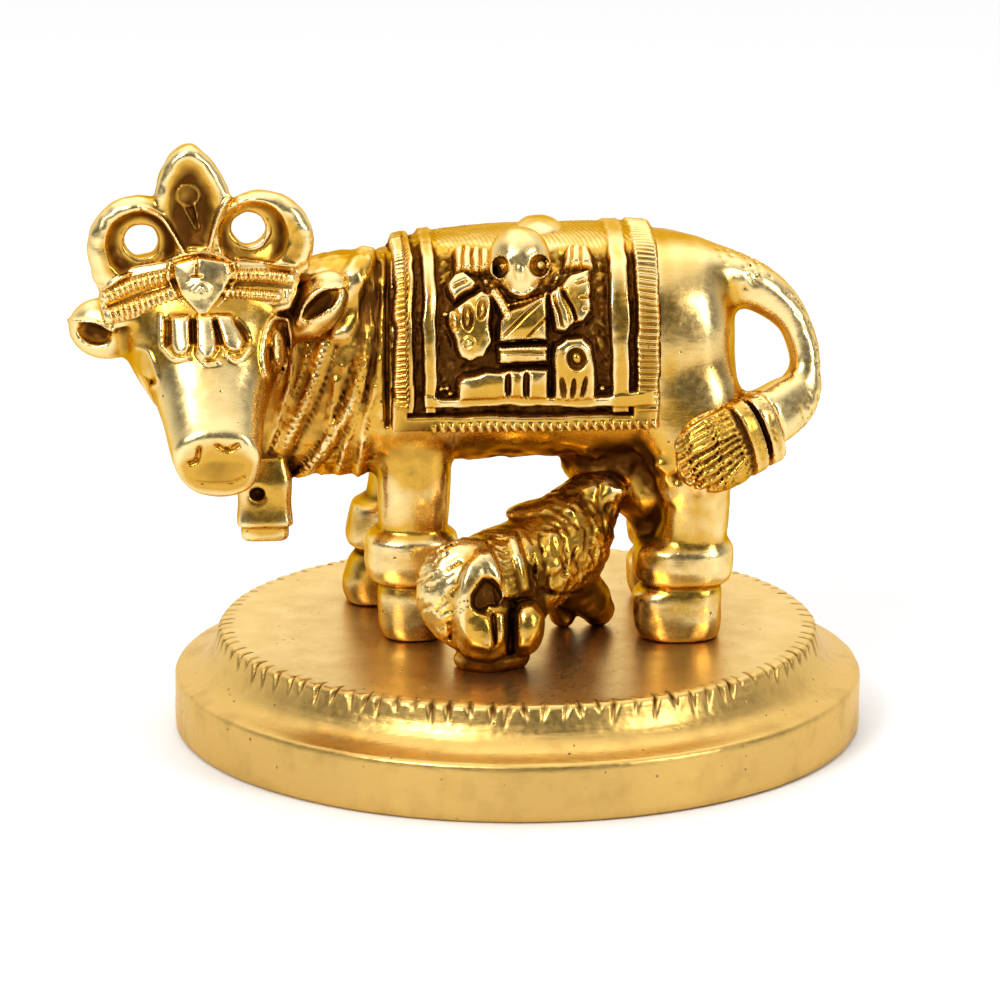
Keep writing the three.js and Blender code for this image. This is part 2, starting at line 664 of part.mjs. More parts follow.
// Joins two rings of points around the same axis, whatever their counts. Each ring holds the
// places of its points in the list and the turns they stand at.
function stitch(lower, upper, faces) {
  const turnAt = (ring, i) => (i < ring.turns.length ? ring.turns[i] : 2 * Math.PI);
  const placeAt = (ring, i) => ring.places[i % ring.places.length];
  let i = 0;
  let j = 0;
  while (i < lower.places.length || j < upper.places.length) {
    const [a, b] = [placeAt(lower, i), placeAt(upper, j)];
    const lowerNext = i < lower.places.length
      && (j === upper.places.length || turnAt(lower, i + 1) <= turnAt(upper, j + 1));
    faces.push(a, lowerNext ? placeAt(lower, ++i) : placeAt(upper, ++j), b);
  }
}

// Base: a turned profile of rim, cove and step, notched along the step's top edge
function makeBase() {
  const rim = baseDiameter / 2;
  const step = stepDiameter / 2;
  const points = [];
  const faces = [];
  const addRing = (radius, height, turns, inset = []) => ({
    turns,
    places: turns.map((turn, i) => {
      const r = radius - (inset[i % inset.length] ?? 0);
      return points.push(vec(r * Math.cos(turn), r * Math.sin(turn), height)) - 1;
    }),
  });
  const sides = notchCount / 2;
  const plain = Array.from({ length: sides }, (_, i) => (i / sides) * Math.PI * 2);
  const halfNotch = notchWidth / step;
  const notched = Array.from({ length: notchCount }, (_, i) => {
    const turn = (i / notchCount) * Math.PI * 2;
    return [turn, turn + halfNotch, turn + 2 * halfNotch];
  }).flat();
  const notchMiddles = notched.filter((_, i) => i % 3 === 1);
  const cut = [0, notchDepth, 0];
  const rings = [
    addRing(0, 0, [0]),
    addRing(rim, 0, plain),
    addRing(rim, rimHeight - rimRound, plain),
    addRing(rim - rimRound, rimHeight, plain),
    addRing(step + coveWidth, rimHeight + coveWidth * 0.3, plain),
    addRing(step + coveWidth * 0.3, rimHeight + coveWidth, plain),
    addRing(step, baseHeight - notchLength, notchMiddles),
    addRing(step - topEdgeRound * 0.3, baseHeight - topEdgeRound * 0.3, notched, cut),
    addRing(step - topEdgeRound, baseHeight, notched, cut),
    addRing(0, baseHeight, [0]),
  ];
  for (let i = 0; i + 1 < rings.length; i++) stitch(rings[i], rings[i + 1], faces);
  const geometry = new THREE.BufferGeometry();
  geometry.setAttribute('position', new THREE.Float32BufferAttribute(
    points.flatMap((p) => [p.x, p.y, p.z]), 3));
  geometry.setIndex(faces);
  return toGeometry(toSolid(geometry));
}

const casting = new THREE.Mesh(makeCasting(), castBrass);
casting.name = 'cow_and_calf';
casting.position.z = baseHeight + seatGap + pegHeight;

const base = new THREE.Mesh(makeBase(), filedBrass);
base.name = 'base';

const statue = new THREE.Group();
statue.add(base, casting);

export default statue;
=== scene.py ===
"""Brass kamdhenu: a cow with her suckling calf on a round plinth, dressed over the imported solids.

Shapes are worked out in millimetres. The figure's own Z is counted from the soles of the feet, and
SOLE lifts it onto the plinth. A shape is a field of signed distances, below zero inside.
"""

import bpy
import numpy as np
from mathutils import Matrix, Vector


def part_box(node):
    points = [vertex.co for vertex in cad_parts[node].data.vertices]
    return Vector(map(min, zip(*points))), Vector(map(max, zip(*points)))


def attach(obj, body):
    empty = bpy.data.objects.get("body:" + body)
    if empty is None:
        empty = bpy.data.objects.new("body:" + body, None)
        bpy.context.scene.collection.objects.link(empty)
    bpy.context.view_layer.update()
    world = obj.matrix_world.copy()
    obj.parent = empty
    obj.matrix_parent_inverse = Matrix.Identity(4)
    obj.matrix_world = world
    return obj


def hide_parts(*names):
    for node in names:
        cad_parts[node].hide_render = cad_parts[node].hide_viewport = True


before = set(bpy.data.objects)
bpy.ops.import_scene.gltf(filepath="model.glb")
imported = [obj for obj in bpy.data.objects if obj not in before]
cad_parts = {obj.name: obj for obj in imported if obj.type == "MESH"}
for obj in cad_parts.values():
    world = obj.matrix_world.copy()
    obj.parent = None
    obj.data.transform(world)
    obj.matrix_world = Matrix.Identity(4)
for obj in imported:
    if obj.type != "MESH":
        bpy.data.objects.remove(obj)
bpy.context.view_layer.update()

MM = 0.001
FAR = 9.0
FIGURE = "cow_and_calf"
PLINTH = "base"

PLINTH_RIM, _, PLINTH_TOP = np.array(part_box(PLINTH)[1]) / MM
STEP_RADIUS = 33                 # of the plinth's upper step
SOLE = PLINTH_TOP + 0.8          # the feet stand this high on their pegs

# The camera of the photograph, in the frame's millimetres
CAMERA = np.array([-33.3, -476.7, 147.0])
CAMERA_HEADING = -3.7657
CAMERA_DOWN = 14.335
CAMERA_LENS = 161.0
CAMERA_SENSOR = 36
SEEN_PLANE = -12.0               # the upright plane that relief is drawn on, as the camera sees it

STEPS = {"cow_head": 0.22, "cow_brow": 0.13, "cow_crown": 0.18, "cow_front": 0.27, "cow_rear": 0.36,
         "tail_tuft": 0.2, "calf": 0.21, "cloth_rider": 0.16, "cloth_near": 0.13, "cloth_far": 0.22}
COARSE = 1.0
rng = np.random.default_rng(7)


# ---------------------------------------------------------------- grids and surfaces
def ramp(t):
    """A smooth rise from 0 to 1."""
    t = np.clip(t, 0, 1)
    return t * t * (3 - 2 * t)


def within(v, low, high, rise, fall=None):
    """1 between low and high and 0 outside, with smooth sides of the given widths inside them."""
    return ramp((v - low) / rise) * ramp((high - v) / (fall or rise))


def spline(xs, ys, x):
    """A smooth curve through the points that doesn't overshoot them."""
    xs, ys = np.asarray(xs, float), np.asarray(ys, float)
    slopes = np.diff(ys) / np.diff(xs)
    inner = np.where(slopes[:-1] * slopes[1:] > 0,
                     2 * slopes[:-1] * slopes[1:] / (slopes[:-1] + slopes[1:] + 1e-12), 0)
    tangents = np.concatenate([slopes[:1], inner, slopes[-1:]])
    x = np.clip(x, xs[0], xs[-1])
    i = np.clip(np.searchsorted(xs, x) - 1, 0, len(xs) - 2)
    h = xs[i + 1] - xs[i]
    t = (x - xs[i]) / h
    return ((1 + 2 * t) * (1 - t) ** 2 * ys[i] + t * (1 - t) ** 2 * h * tangents[i]
            + t * t * (3 - 2 * t) * ys[i + 1] + t * t * (t - 1) * h * tangents[i + 1])


def soft_min(a, b, soft):
    """The lesser of two distances, blended where they are closer than soft."""
    if soft <= 0:
        return np.minimum(a, b)
    t = np.clip(0.5 + 0.5 * (b - a) / soft, 0, 1)
    return b + (a - b) * t - soft * t * (1 - t)


def rounded_meet(a, b, radius):
    """The solid inside both a and b, with a rounded edge where they meet."""
    a, b = a + radius, b + radius
    return np.minimum(np.maximum(a, b), 0) - radius + np.hypot(np.maximum(a, 0), np.maximum(b, 0))


def seen(x, y, z):
    """Where the camera sees a point of the figure on the plane y = SEEN_PLANE."""
    share = (SEEN_PLANE - CAMERA[1]) / (y - CAMERA[1])
    eye_z = CAMERA[2] - SOLE
    return CAMERA[0] + (x - CAMERA[0]) * share, eye_z + (z - eye_z) * share


def grid_part(grid, low, high):
    """The slices of a grid that cover a box, and the coordinates of the points in them."""
    first = np.clip(np.floor((np.array(low) - grid.low) / grid.step), 0, grid.count - 2).astype(int)
    last = np.clip(np.ceil((np.array(high) - grid.low) / grid.step) + 1, 2, grid.count).astype(int)
    axes = [start + grid.step * np.arange(a, b) for start, a, b in zip(grid.low, first, last)]
    cut = tuple(slice(a, b) for a, b in zip(first, last))
    return cut, np.meshgrid(*axes, indexing="ij", sparse=True)


class Field:
    """Signed distances at the points of a grid."""

    def __init__(self, name, low, high):
        self.name = name
        self.low = np.array(low, float)
        self.step = STEPS[name] * COARSE
        self.count = np.ceil((np.array(high, float) - self.low) / self.step).astype(int) + 1
        self.whole = (self.low, self.low + self.step * self.count)
        self.d = np.full(self.count, FAR, np.float32)

    def part(self, low, high):
        cut, axes = grid_part(self, low, high)
        return cut, [axis.astype(np.float32) for axis in axes]

    def add(self, low, high, shape, soft=0.0):
        cut, axes = self.part(low, high)
        self.d[cut] = soft_min(self.d[cut], shape(*axes), soft)

    def cut(self, low, high, shape, soft=0.0):
        cut, axes = self.part(low, high)
        self.d[cut] = -soft_min(-self.d[cut], shape(*axes), soft)

    def push(self, low, high, height, reach=2.0):
        """Raises the surface by height(x, y, z), worked out near the surface only."""
        cut, axes = self.part(low, high)
        d = self.d[cut]
        near = np.abs(d) < reach
        x, y, z = (np.broadcast_to(a, d.shape)[near] for a in axes)
        d[near] -= height(x, y, z).astype(np.float32)

    def hollows(self, radius):
        """At each grid point, how much solid lies around it: about 0.5 on a flat surface, more in
        a recess and less on an edge. Small recesses count most, for the patina, and wide ones a
        little, as painted shade."""
        inside = np.clip(0.5 - self.d / (2 * self.step), 0, 1)
        total = 0.5
        for reach, share in ((radius, 1.0), (3 * radius, 0.6)):
            wide = max(1, int(round(reach / self.step)))
            total = total + share * (blurred(inside, wide) - 0.5)
        return total


def blend_corners(share, value_at):
    """The value inside a grid cell, blended from value_at(corner) at its corners."""
    total = 0
    for corner in np.ndindex(*(2,) * share.shape[-1]):
        weight = 1
        for k, c in enumerate(corner):
            weight = weight * (share[..., k] if c else 1 - share[..., k])
        total = total + weight * value_at(corner)
    return total


def sample_grid(grid, at):
    """Values of a grid at places counted in its steps."""
    at = np.clip(at, 0, np.array(grid.shape) - 1.001)
    i = at.astype(int)
    return blend_corners((at - i).astype(np.float32), lambda corner: grid[tuple((i + corner).T)])


def box_blur(grid, wide, axis):
    """A running mean over 2 * wide + 1 points."""
    pad = [(0, 0)] * grid.ndim
    pad[axis] = (wide + 1, wide)
    total = np.cumsum(np.pad(grid, pad, mode="edge"), axis=axis, dtype=np.float64)
    head = [slice(None)] * grid.ndim
    tail = [slice(None)] * grid.ndim
    head[axis] = slice(2 * wide + 1, None)
    tail[axis] = slice(None, -(2 * wide + 1))
    return ((total[tuple(head)] - total[tuple(tail)]) / (2 * wide + 1)).astype(np.float32)


def blurred(grid, wide):
    """A soft blur: two running means along every axis."""
    for axis in range(grid.ndim):
        for _ in range(2):
            grid = box_blur(grid, wide, axis)
    return grid


def surface(field):
    """The field's surface as points and quads: one point in each cell that the surface crosses."""
    d = field.d
    inside = d < 0
    size = np.array(d.shape) - 1
    corners = [np.array(c) for c in np.ndindex(2, 2, 2)]
    part = [tuple(slice(c[k], c[k] + size[k]) for k in range(3)) for c in corners]
    some = np.zeros(size, bool)
    every = np.ones(size, bool)
    for p in part:
        some |= inside[p]
        every &= inside[p]
    cells = np.argwhere(some & ~every)
    values = np.stack([d[tuple((cells + c).T)] for c in corners], 1)
    place = np.zeros((len(cells), 3))
    hits = np.zeros(len(cells))
    for a in range(8):
        for b in range(a + 1, 8):
            if np.abs(corners[a] - corners[b]).sum() != 1:
                continue
            va, vb = values[:, a], values[:, b]
            cross = (va < 0) != (vb < 0)
            t = np.where(cross, va / np.where(cross, va - vb, 1), 0)[:, None]
            place += np.where(cross[:, None], corners[a] + t * (corners[b] - corners[a]), 0)
            hits += cross
    points = field.low + (cells + place / hits[:, None]) * field.step
    number = np.full(size, -1, np.int32)
    number[tuple(cells.T)] = np.arange(len(cells))
    quads = []
    for axis in range(3):
        one, two = (axis + 1) % 3, (axis + 2) % 3
        low = [slice(1, -1)] * 3
        low[axis] = slice(0, -1)
        high = [slice(1, -1)] * 3
        high[axis] = slice(1, None)
        first, second = inside[tuple(low)], inside[tuple(high)]
        edges = np.argwhere(first != second)
        flip = second[tuple(edges.T)]
        start = edges + 1
        start[:, axis] -= 1
        around = []
        for back_one, back_two in ((1, 1), (0, 1), (0, 0), (1, 0)):
            cell = start.copy()
            cell[:, one] -= back_one
            cell[:, two] -= back_two
            around.append(number[tuple(cell.T)])
        quad = np.stack(around, 1)
        quad[flip] = quad[flip][:, ::-1]
        quads.append(quad)
    return points, np.concatenate(quads)


def relaxed(points, quads):
    """Moves each point halfway towards its neighbours' mean."""
    a = np.concatenate([quads[:, k] for k in range(4)])
    b = np.concatenate([quads[:, (k + 1) % 4] for k in range(4)])
    ends = np.concatenate([a, b])
    others = np.concatenate([b, a])
    count = np.maximum(np.bincount(ends, minlength=len(points)), 1)[:, None]
    mean = np.stack([np.bincount(ends, points[others, k], len(points)) for k in range(3)], 1)
    return points + 0.5 * (mean / count - points)


def make_mesh(name, points, quads, lift=0.0):
    """A smooth-shaded object from millimetre points and quads."""
    mesh = bpy.data.meshes.new(name)
    points = (np.asarray(points, float) + [0, 0, lift]) * MM
    mesh.vertices.add(len(points))
    mesh.vertices.foreach_set("co", points.ravel())
    mesh.loops.add(quads.size)
    mesh.loops.foreach_set("vertex_index", quads.ravel().astype(np.int32))
    mesh.polygons.add(len(quads))
    mesh.polygons.foreach_set("loop_start", np.arange(0, quads.size, 4, dtype=np.int32))
    mesh.polygons.foreach_set("use_smooth", np.ones(len(quads), bool))
    mesh.update(calc_edges=True)
    mesh.validate()
    obj = bpy.data.objects.new(name, mesh)
    bpy.context.scene.collection.objects.link(obj)
    return obj


def set_value(obj, name, values):
    """Stores one number a point, for the material to read."""
    attribute = obj.data.attributes.new(name, "FLOAT", "POINT")
    attribute.data.foreach_set("value", np.asarray(values, np.float32))


class Crowd:
    """How closely solids stand together, on a coarse grid over the whole statue, for painted shade
    between crowded forms.
    """
    step = 0.8
    low = np.array([-51.0, -41, -14])
    count = (115, 104, 90)
    inside = np.zeros(count, np.float32)

    @classmethod
    def mark(cls, field):
        """Notes where a field is solid."""
        first = np.maximum(np.ceil((field.low - cls.low) / cls.step).astype(int), 0)
        high = field.low + field.step * (field.count - 1)
        last = np.minimum(((high - cls.low) / cls.step).astype(int) + 1, cls.count)
        axes = [np.round((cls.low[k] + cls.step * np.arange(first[k], last[k]) - field.low[k])
                         / field.step).astype(int) for k in range(3)]
        part = tuple(slice(a, b) for a, b in zip(first, last))
        cls.inside[part] = np.maximum(cls.inside[part], field.d[np.ix_(*axes)] < 0)

    @classmethod
    def show(cls, pieces, reaches=(2.4, 5.6)):
        """Stores on each piece how much solid lies around each point: about 0.5 on open faces, and
        more where the material paints shade.
        """
        x, y, z = (cls.low[k] + cls.step * np.arange(cls.count[k]) for k in range(3))
        inside = cls.inside.copy()
        disc = np.hypot(x[:, None], y[None, :]) < STEP_RADIUS
        inside[disc[:, :, None] & (z[None, None, :] < PLINTH_TOP - SOLE)] = 1
        around = 0
        for reach in reaches:
            around = around + blurred(inside, int(round(reach / cls.step))) / len(reaches)
        for piece in pieces:
            points = np.zeros(len(piece.data.vertices) * 3, np.float32)
            piece.data.vertices.foreach_get("co", points)
            points = points.reshape(-1, 3) / MM - [0, 0, SOLE]
            set_value(piece, "crowd", sample_grid(around, (points - cls.low) / cls.step))


def make_piece(field, hollow_radius=0.7, patina_and_painted_light=None):
    """The visible piece of a field, with its recesses measured for the patina and painted shade.

    The function given as the last argument adds to them: patina and painted shade above zero,
    rubbed brass and painted highlight below it.
    """
    Crowd.mark(field)
    points, quads = surface(field)
    hollow = sample_grid(field.hollows(hollow_radius), (points - field.low) / field.step)
    if patina_and_painted_light:
        hollow = hollow + patina_and_painted_light(*points.T)
    obj = make_mesh(field.name, relaxed(points, quads), quads, SOLE)
    set_value(obj, "hollow", hollow)
    return obj


# ---------------------------------------------------------------- shapes
def superellipse(u, v, half_u, half_v, power):
    """Distance from an outline that is an ellipse at power 2 and squarer above it."""
    rho = (np.abs(u / half_u) ** power + np.abs(v / half_v) ** power) ** (1 / power) + 1e-6
    return np.sqrt(u * u + v * v) * (1 - 1 / rho) - 0.3 * np.minimum(half_u, half_v) * (rho < 0.05)


def egg(centre, radii, lean=0, pitch=0, turn=0):
    """An ellipsoid turned about Z, then X (pitch), then Y (lean), in degrees."""
    spin = (Matrix.Rotation(np.radians(lean), 3, "Y") @ Matrix.Rotation(np.radians(pitch), 3, "X")
            @ Matrix.Rotation(np.radians(turn), 3, "Z"))
    m = np.array(spin).T

    def shape(x, y, z):
        x, y, z = x - centre[0], y - centre[1], z - centre[2]
        p = [(m[k, 0] * x + m[k, 1] * y + m[k, 2] * z) / radii[k] for k in range(3)]
        k0 = np.sqrt(p[0] ** 2 + p[1] ** 2 + p[2] ** 2) + 1e-6
        k1 = np.sqrt((p[0] / radii[0]) ** 2 + (p[1] / radii[1]) ** 2 + (p[2] / radii[2]) ** 2) + 1e-6
        return k0 * (k0 - 1) / k1
    return shape


def rod(a, b, ra, rb=None):
    """A bar with round ends, from radius ra at a to rb at b."""
    a, b = np.array(a, float), np.array(b, float)
    rb = ra if rb is None else rb
    ab = b - a

    def shape(x, y, z):
        x, y, z = x - a[0], y - a[1], z - a[2]
        t = np.clip((x * ab[0] + y * ab[1] + z * ab[2]) / (ab @ ab), 0, 1)
        return np.sqrt((x - t * ab[0]) ** 2 + (y - t * ab[1]) ** 2 + (z - t * ab[2]) ** 2) \
            - (ra + t * (rb - ra))
    return shape


def put(field, points, reach, shape, soft, cut=False):
    """Adds a shape to a field, or cuts it out, within reach of the points."""
    points = np.array(points, float)
    (field.cut if cut else field.add)(points.min(0) - reach, points.max(0) + reach, shape, soft)


def add_egg(field, centre, radii, soft=0.0, cut=False, **turns):
    put(field, [centre], max(radii) + soft + 0.6, egg(centre, radii, **turns), soft, cut)


def add_rod(field, a, b, ra, rb=None, soft=0.0):
    put(field, [a, b], max(ra, rb or ra) + soft + 0.6, rod(a, b, ra, rb), soft)


def curve(rows, count=24, places=2):
    """A smooth line through rows of numbers. The first ones in a row are its place."""
    rows = np.array(rows, float)
    steps = np.linalg.norm(np.diff(rows[:, :places], axis=0), axis=1)
    length = np.concatenate([[0], np.cumsum(steps)])
    fine = np.linspace(0, length[-1], count)
    return np.stack([spline(length, column, fine) for column in rows.T], 1)


def sweep(rows, power, up):
    """A bent bar, from rows [x, y, z, half across, half along up] on its centre line."""
    rows = curve(rows, 8 * len(rows), 3)
    line, half = rows[:, :3], rows[:, 3:]
    up = np.array(up, float)

    def shape(x, y, z):
        x, y, z = np.broadcast_arrays(x, y, z)
        best = np.full(x.shape, 1e9, np.float32)
        found = [0.0] * 5
        for i in range(len(line) - 1):
            seg = line[i + 1] - line[i]
            size = np.linalg.norm(seg)
            along = seg / size
            side = np.cross(up, along)
            side /= np.linalg.norm(side)
            top = np.cross(along, side)
            px, py, pz = x - line[i, 0], y - line[i, 1], z - line[i, 2]
            raw = (px * along[0] + py * along[1] + pz * along[2]) / size
            t = np.clip(raw, 0, 1)
            qx, qy, qz = px - t * seg[0], py - t * seg[1], pz - t * seg[2]
            dist = qx * qx + qy * qy + qz * qz
            closer = dist < best
            best = np.where(closer, dist, best)
            here = (qx * side[0] + qy * side[1] + qz * side[2], qx * top[0] + qy * top[1] + qz * top[2],
                    half[i, 0] + t * (half[i + 1, 0] - half[i, 0]),
                    half[i, 1] + t * (half[i + 1, 1] - half[i, 1]), np.abs(raw - t) * size)
            found = [np.where(closer, new, old) for new, old in zip(here, found)]
        across, high, half_across, half_high, beyond = found
        inner = superellipse(across, high, half_across, half_high, power)
        cap = np.sqrt(np.maximum(inner, 0) ** 2 + beyond ** 2)
        return np.where(beyond > 0, cap, inner)
    return shape


def add_sweep(field, rows, power=2.3, up=(0, 1, 0), soft=0.0):
    rows = np.array(rows, float)
    put(field, rows[:, :3], rows[:, 3:].max() + soft + 0.8, sweep(rows, power, up), soft)


def prism(axis, up, stations, power=2.3, round_end=0.6):
    """A straight bar from sections square to it: [along, side, high, half side, half high]."""
    axis, up = np.array(axis, float), np.array(up, float)
    axis /= np.linalg.norm(axis)
    up = up - axis * (up @ axis)
    up /= np.linalg.norm(up)
    side = np.cross(up, axis)
    stations = np.array(stations, float)

    def shape(x, y, z):
        along = x * axis[0] + y * axis[1] + z * axis[2]
        u = x * side[0] + y * side[1] + z * side[2]
        v = x * up[0] + y * up[1] + z * up[2]
        at = [spline(stations[:, 0], stations[:, k], along).astype(np.float32) for k in range(1, 5)]
        inner = superellipse(u - at[0], v - at[1], at[2], at[3], power)
        past = np.maximum(stations[0, 0] - along, along - stations[-1, 0])
        return rounded_meet(inner, past, round_end)
    return shape


def outline_distance(u, v, points):
    """Signed distance from a closed outline."""
    points = np.array(points, float)
    best = np.full(np.broadcast(u, v).shape, 1e9)
    inside = np.zeros(best.shape, bool)
    for a, b in zip(points, np.roll(points, -1, 0)):
        edge = b - a
        pu, pv = u - a[0], v - a[1]
        t = np.clip((pu * edge[0] + pv * edge[1]) / (edge @ edge + 1e-12), 0, 1)
        best = np.minimum(best, (pu - t * edge[0]) ** 2 + (pv - t * edge[1]) ** 2)
        crosses = (a[1] > v) != (b[1] > v)
        inside ^= crosses & (u < a[0] + (v - a[1]) * edge[0] / (edge[1] + 1e-12))
    return np.where(inside, -1, 1) * np.sqrt(best)


def line_distance(u, v, points):
    """Distance from an open line of points, and the length along it of the nearest place."""
    points = np.array(points, float)
    best = np.full(np.broadcast(u, v).shape, 1e9)
    where = np.zeros(best.shape)
    done = 0
    for a, b in zip(points, points[1:]):
        edge = b - a
        size = np.hypot(*edge)
        pu, pv = u - a[0], v - a[1]
        t = np.clip((pu * edge[0] + pv * edge[1]) / size ** 2, 0, 1)
        dist = (pu - t * edge[0]) ** 2 + (pv - t * edge[1]) ** 2
        where = np.where(dist < best, done + t * size, where)
        best = np.minimum(best, dist)
        done += size
    return np.sqrt(best), where


def plate(points, near, far, edge, bend=None):
    """An outline in X and Z pushed through from y = near to y = far, with rounded edges.

    bend(x, z) is how far back each part of it stands.
    """
    def shape(x, y, z):
        flat = outline_distance(x[:, 0], z[0], points).astype(np.float32)[:, None, :]
        back = bend(x, z) if bend else 0
        return rounded_meet(flat, np.abs(y - back - (near + far) / 2) - (far - near) / 2, edge)
    return shape


class Sheet:
    """Heights over the plane that the camera sees, which raise and sink a piece's near face."""

    def __init__(self, low, high, step=0.07):
        self.low = np.array(low, float)
        self.step = step
        self.count = np.ceil((np.array(high, float) - self.low) / step).astype(int) + 1
        self.h = np.zeros(self.count)

    def part(self, points, margin):
        points = np.array(points, float)
        cut, (u, v) = grid_part(self, points.min(0) - margin, points.max(0) + margin)
        return cut, u, v

    def slab(self, points, height, edge=0.6, crown=0.3):
        """Raises an outline to a height, or sinks it to one below zero, rounded like a pillow."""
        cut, u, v = self.part(points, edge)
        inward = -outline_distance(u, v, points)
        share = ramp(0.5 + inward / edge)
        level = height * share * (1 + crown * np.sqrt(np.clip(inward / 1.3, 0, 1)))
        self.h[cut] = np.maximum(self.h[cut], level) if height > 0 \
            else self.h[cut] + share * (height - self.h[cut])

    def ridge(self, points, width, height):
        """A rounded ridge along a line, or a groove if height is below zero."""
        cut, u, v = self.part(points, width)
        dist, _ = line_distance(u, v, points)
        self.h[cut] += height * ramp(1 - dist / (width / 2))

    def ribs(self, points, width, pitch, height, slant=0.0, sharp=0.6):
        """A bar of round ribs that lie across a line."""
        cut, u, v = self.part(points, width)
        dist, where = line_distance(u, v, points)
        phase = (where + slant * dist) / pitch
        crest = np.abs(np.cos(np.pi * phase)) ** sharp
        edge = ramp((width / 2 - dist) / (0.22 * width))
        self.h[cut] += height * edge * crest

    def ring(self, centre, radius, width, height):
        """A round ridge, or a groove if height is below zero."""
        cut, u, v = self.part([centre], radius + width)
        dist = np.abs(np.hypot(u - centre[0], v - centre[1]) - radius)
        self.h[cut] += height * ramp(1 - dist / (width / 2))

    def dome(self, centre, radii, height, turn=0.0):
        """A round hill, or a bowl if height is below zero."""
        cut, u, v = self.part([centre], max(radii) + 0.2)
        c, s = np.cos(np.radians(turn)), np.sin(np.radians(turn))
        u, v = u - centre[0], v - centre[1]
        far = ((u * c + v * s) / radii[0]) ** 2 + ((v * c - u * s) / radii[1]) ** 2
        self.h[cut] += height * np.sqrt(np.clip(1 - far, 0, 1))

    def bend(self, points, width, height, count=24):
        """A ridge or groove along a smooth line."""
        self.ridge(curve(points, count), width, height)

    def at(self, u, v):
        """Heights at places on the plane, zero outside the sheet."""
        inside = ((u > self.low[0]) & (v > self.low[1])
                  & (u < self.low[0] + self.step * (self.count[0] - 1))
                  & (v < self.low[1] + self.step * (self.count[1] - 1)))
        where = (np.stack([u, v], 1) - self.low) / self.step
        return np.where(inside, sample_grid(self.h, where), 0)

    def seen_at(self, x, y, z):
        """Heights at points of the figure, as the camera sees them."""
        return self.at(*seen(x, y, z))


TWIST = np.array(Matrix.Rotation(0.9, 3, Vector((1, 2, 3)).normalized()))


def grain(x, y, z, scale, seed):
    """Smooth random numbers from about -1 to 1, with lumps of the given size."""
    noise = np.random.default_rng(seed).uniform(-1, 1, (32, 32, 32))
    at = np.stack(np.broadcast_arrays(x, y, z), -1).astype(float) @ TWIST / scale
    i = np.floor(at).astype(int)
    return blend_corners(ramp(at - i),
                         lambda corner: noise[tuple(np.moveaxis((i + corner) % 32, -1, 0))])


# ---------------------------------------------------------------- the trunk
# Sections of the neck and barrel: x, middle y, top, bottom, half width
TRUNK = np.array([
    [-37, -2, 37, 29, 4], [-34, -2, 39.5, 25, 5.6], [-30.5, -1.6, 40, 20, 6],
    [-24, -0.4, 38.8, 16.8, 7.5], [-19, 0.4, 39, 16.5, 9.4], [-15, 0.8, 40.7, 16.8, 10.9],
    [-11, 0.8, 41.9, 17.9, 11.5], [0, 0.8, 42.8, 18.4, 11.9], [11, 0.8, 42.9, 18.2, 11.8],
    [16, 0.8, 42.6, 17.4, 11.4], [19, 0.8, 41.9, 17, 10.9], [21.5, 0.8, 40.6, 19, 10],
    [23.4, 0.8, 38.6, 22, 8.6]])
TRUNK_POWER = 2.6
MIDDLE = 0.8
RUMP_END = 23.4
RUMP_ROUND = 4.0


def trunk_section(x):
    """The trunk's section at x: its middle in Y and Z, half width and half height."""
    y, top, bottom, half = (spline(TRUNK[:, 0], TRUNK[:, k], x) for k in range(1, 5))
    return y, (top + bottom) / 2, half, (top - bottom) / 2


def trunk(low_x, high_x, end_round=0.4):
    """The neck and barrel between two values of x."""
    def shape(x, y, z):
        middle_y, middle_z, half, tall = trunk_section(x)
        side = superellipse(y - middle_y, z - middle_z, half, tall, TRUNK_POWER)
        rump = rounded_meet(side, x - RUMP_END, RUMP_ROUND)
        return rounded_meet(rump, np.maximum(low_x - x, x - high_x), end_round)
    return shape


def under_cloth(x, y, z):
    """Sinks the trunk a little where the saddle cloth covers it."""
    return -0.55 * within(x, -14, 14.4, 0.6) * ramp((z - 24.3) / 0.6)


# ---------------------------------------------------------------- head
BROW_MIDDLE = -34.4
BROW_FOOT = 38
# Outline of the face below the eyes, as the camera sees it
MUZZLE = curve([(-44, 46), (-41.2, 34), (-39.7, 27.9), (-38.7, 24.6), (-37.9, 21), (-36.8, 18.7),
                (-34.8, 17.1), (-32.5, 16.6), (-29.9, 17.3), (-28.4, 19.1), (-27.9, 21.6),
                (-27.1, 24.7), (-26.4, 27.8), (-24.3, 34), (-20, 46)], 60)


def brow_bend(x, z):
    """The brow stands back at both sides and at its top."""
    return 0.2 * np.abs(x - BROW_MIDDLE) + 0.18 * (z - BROW_FOOT)


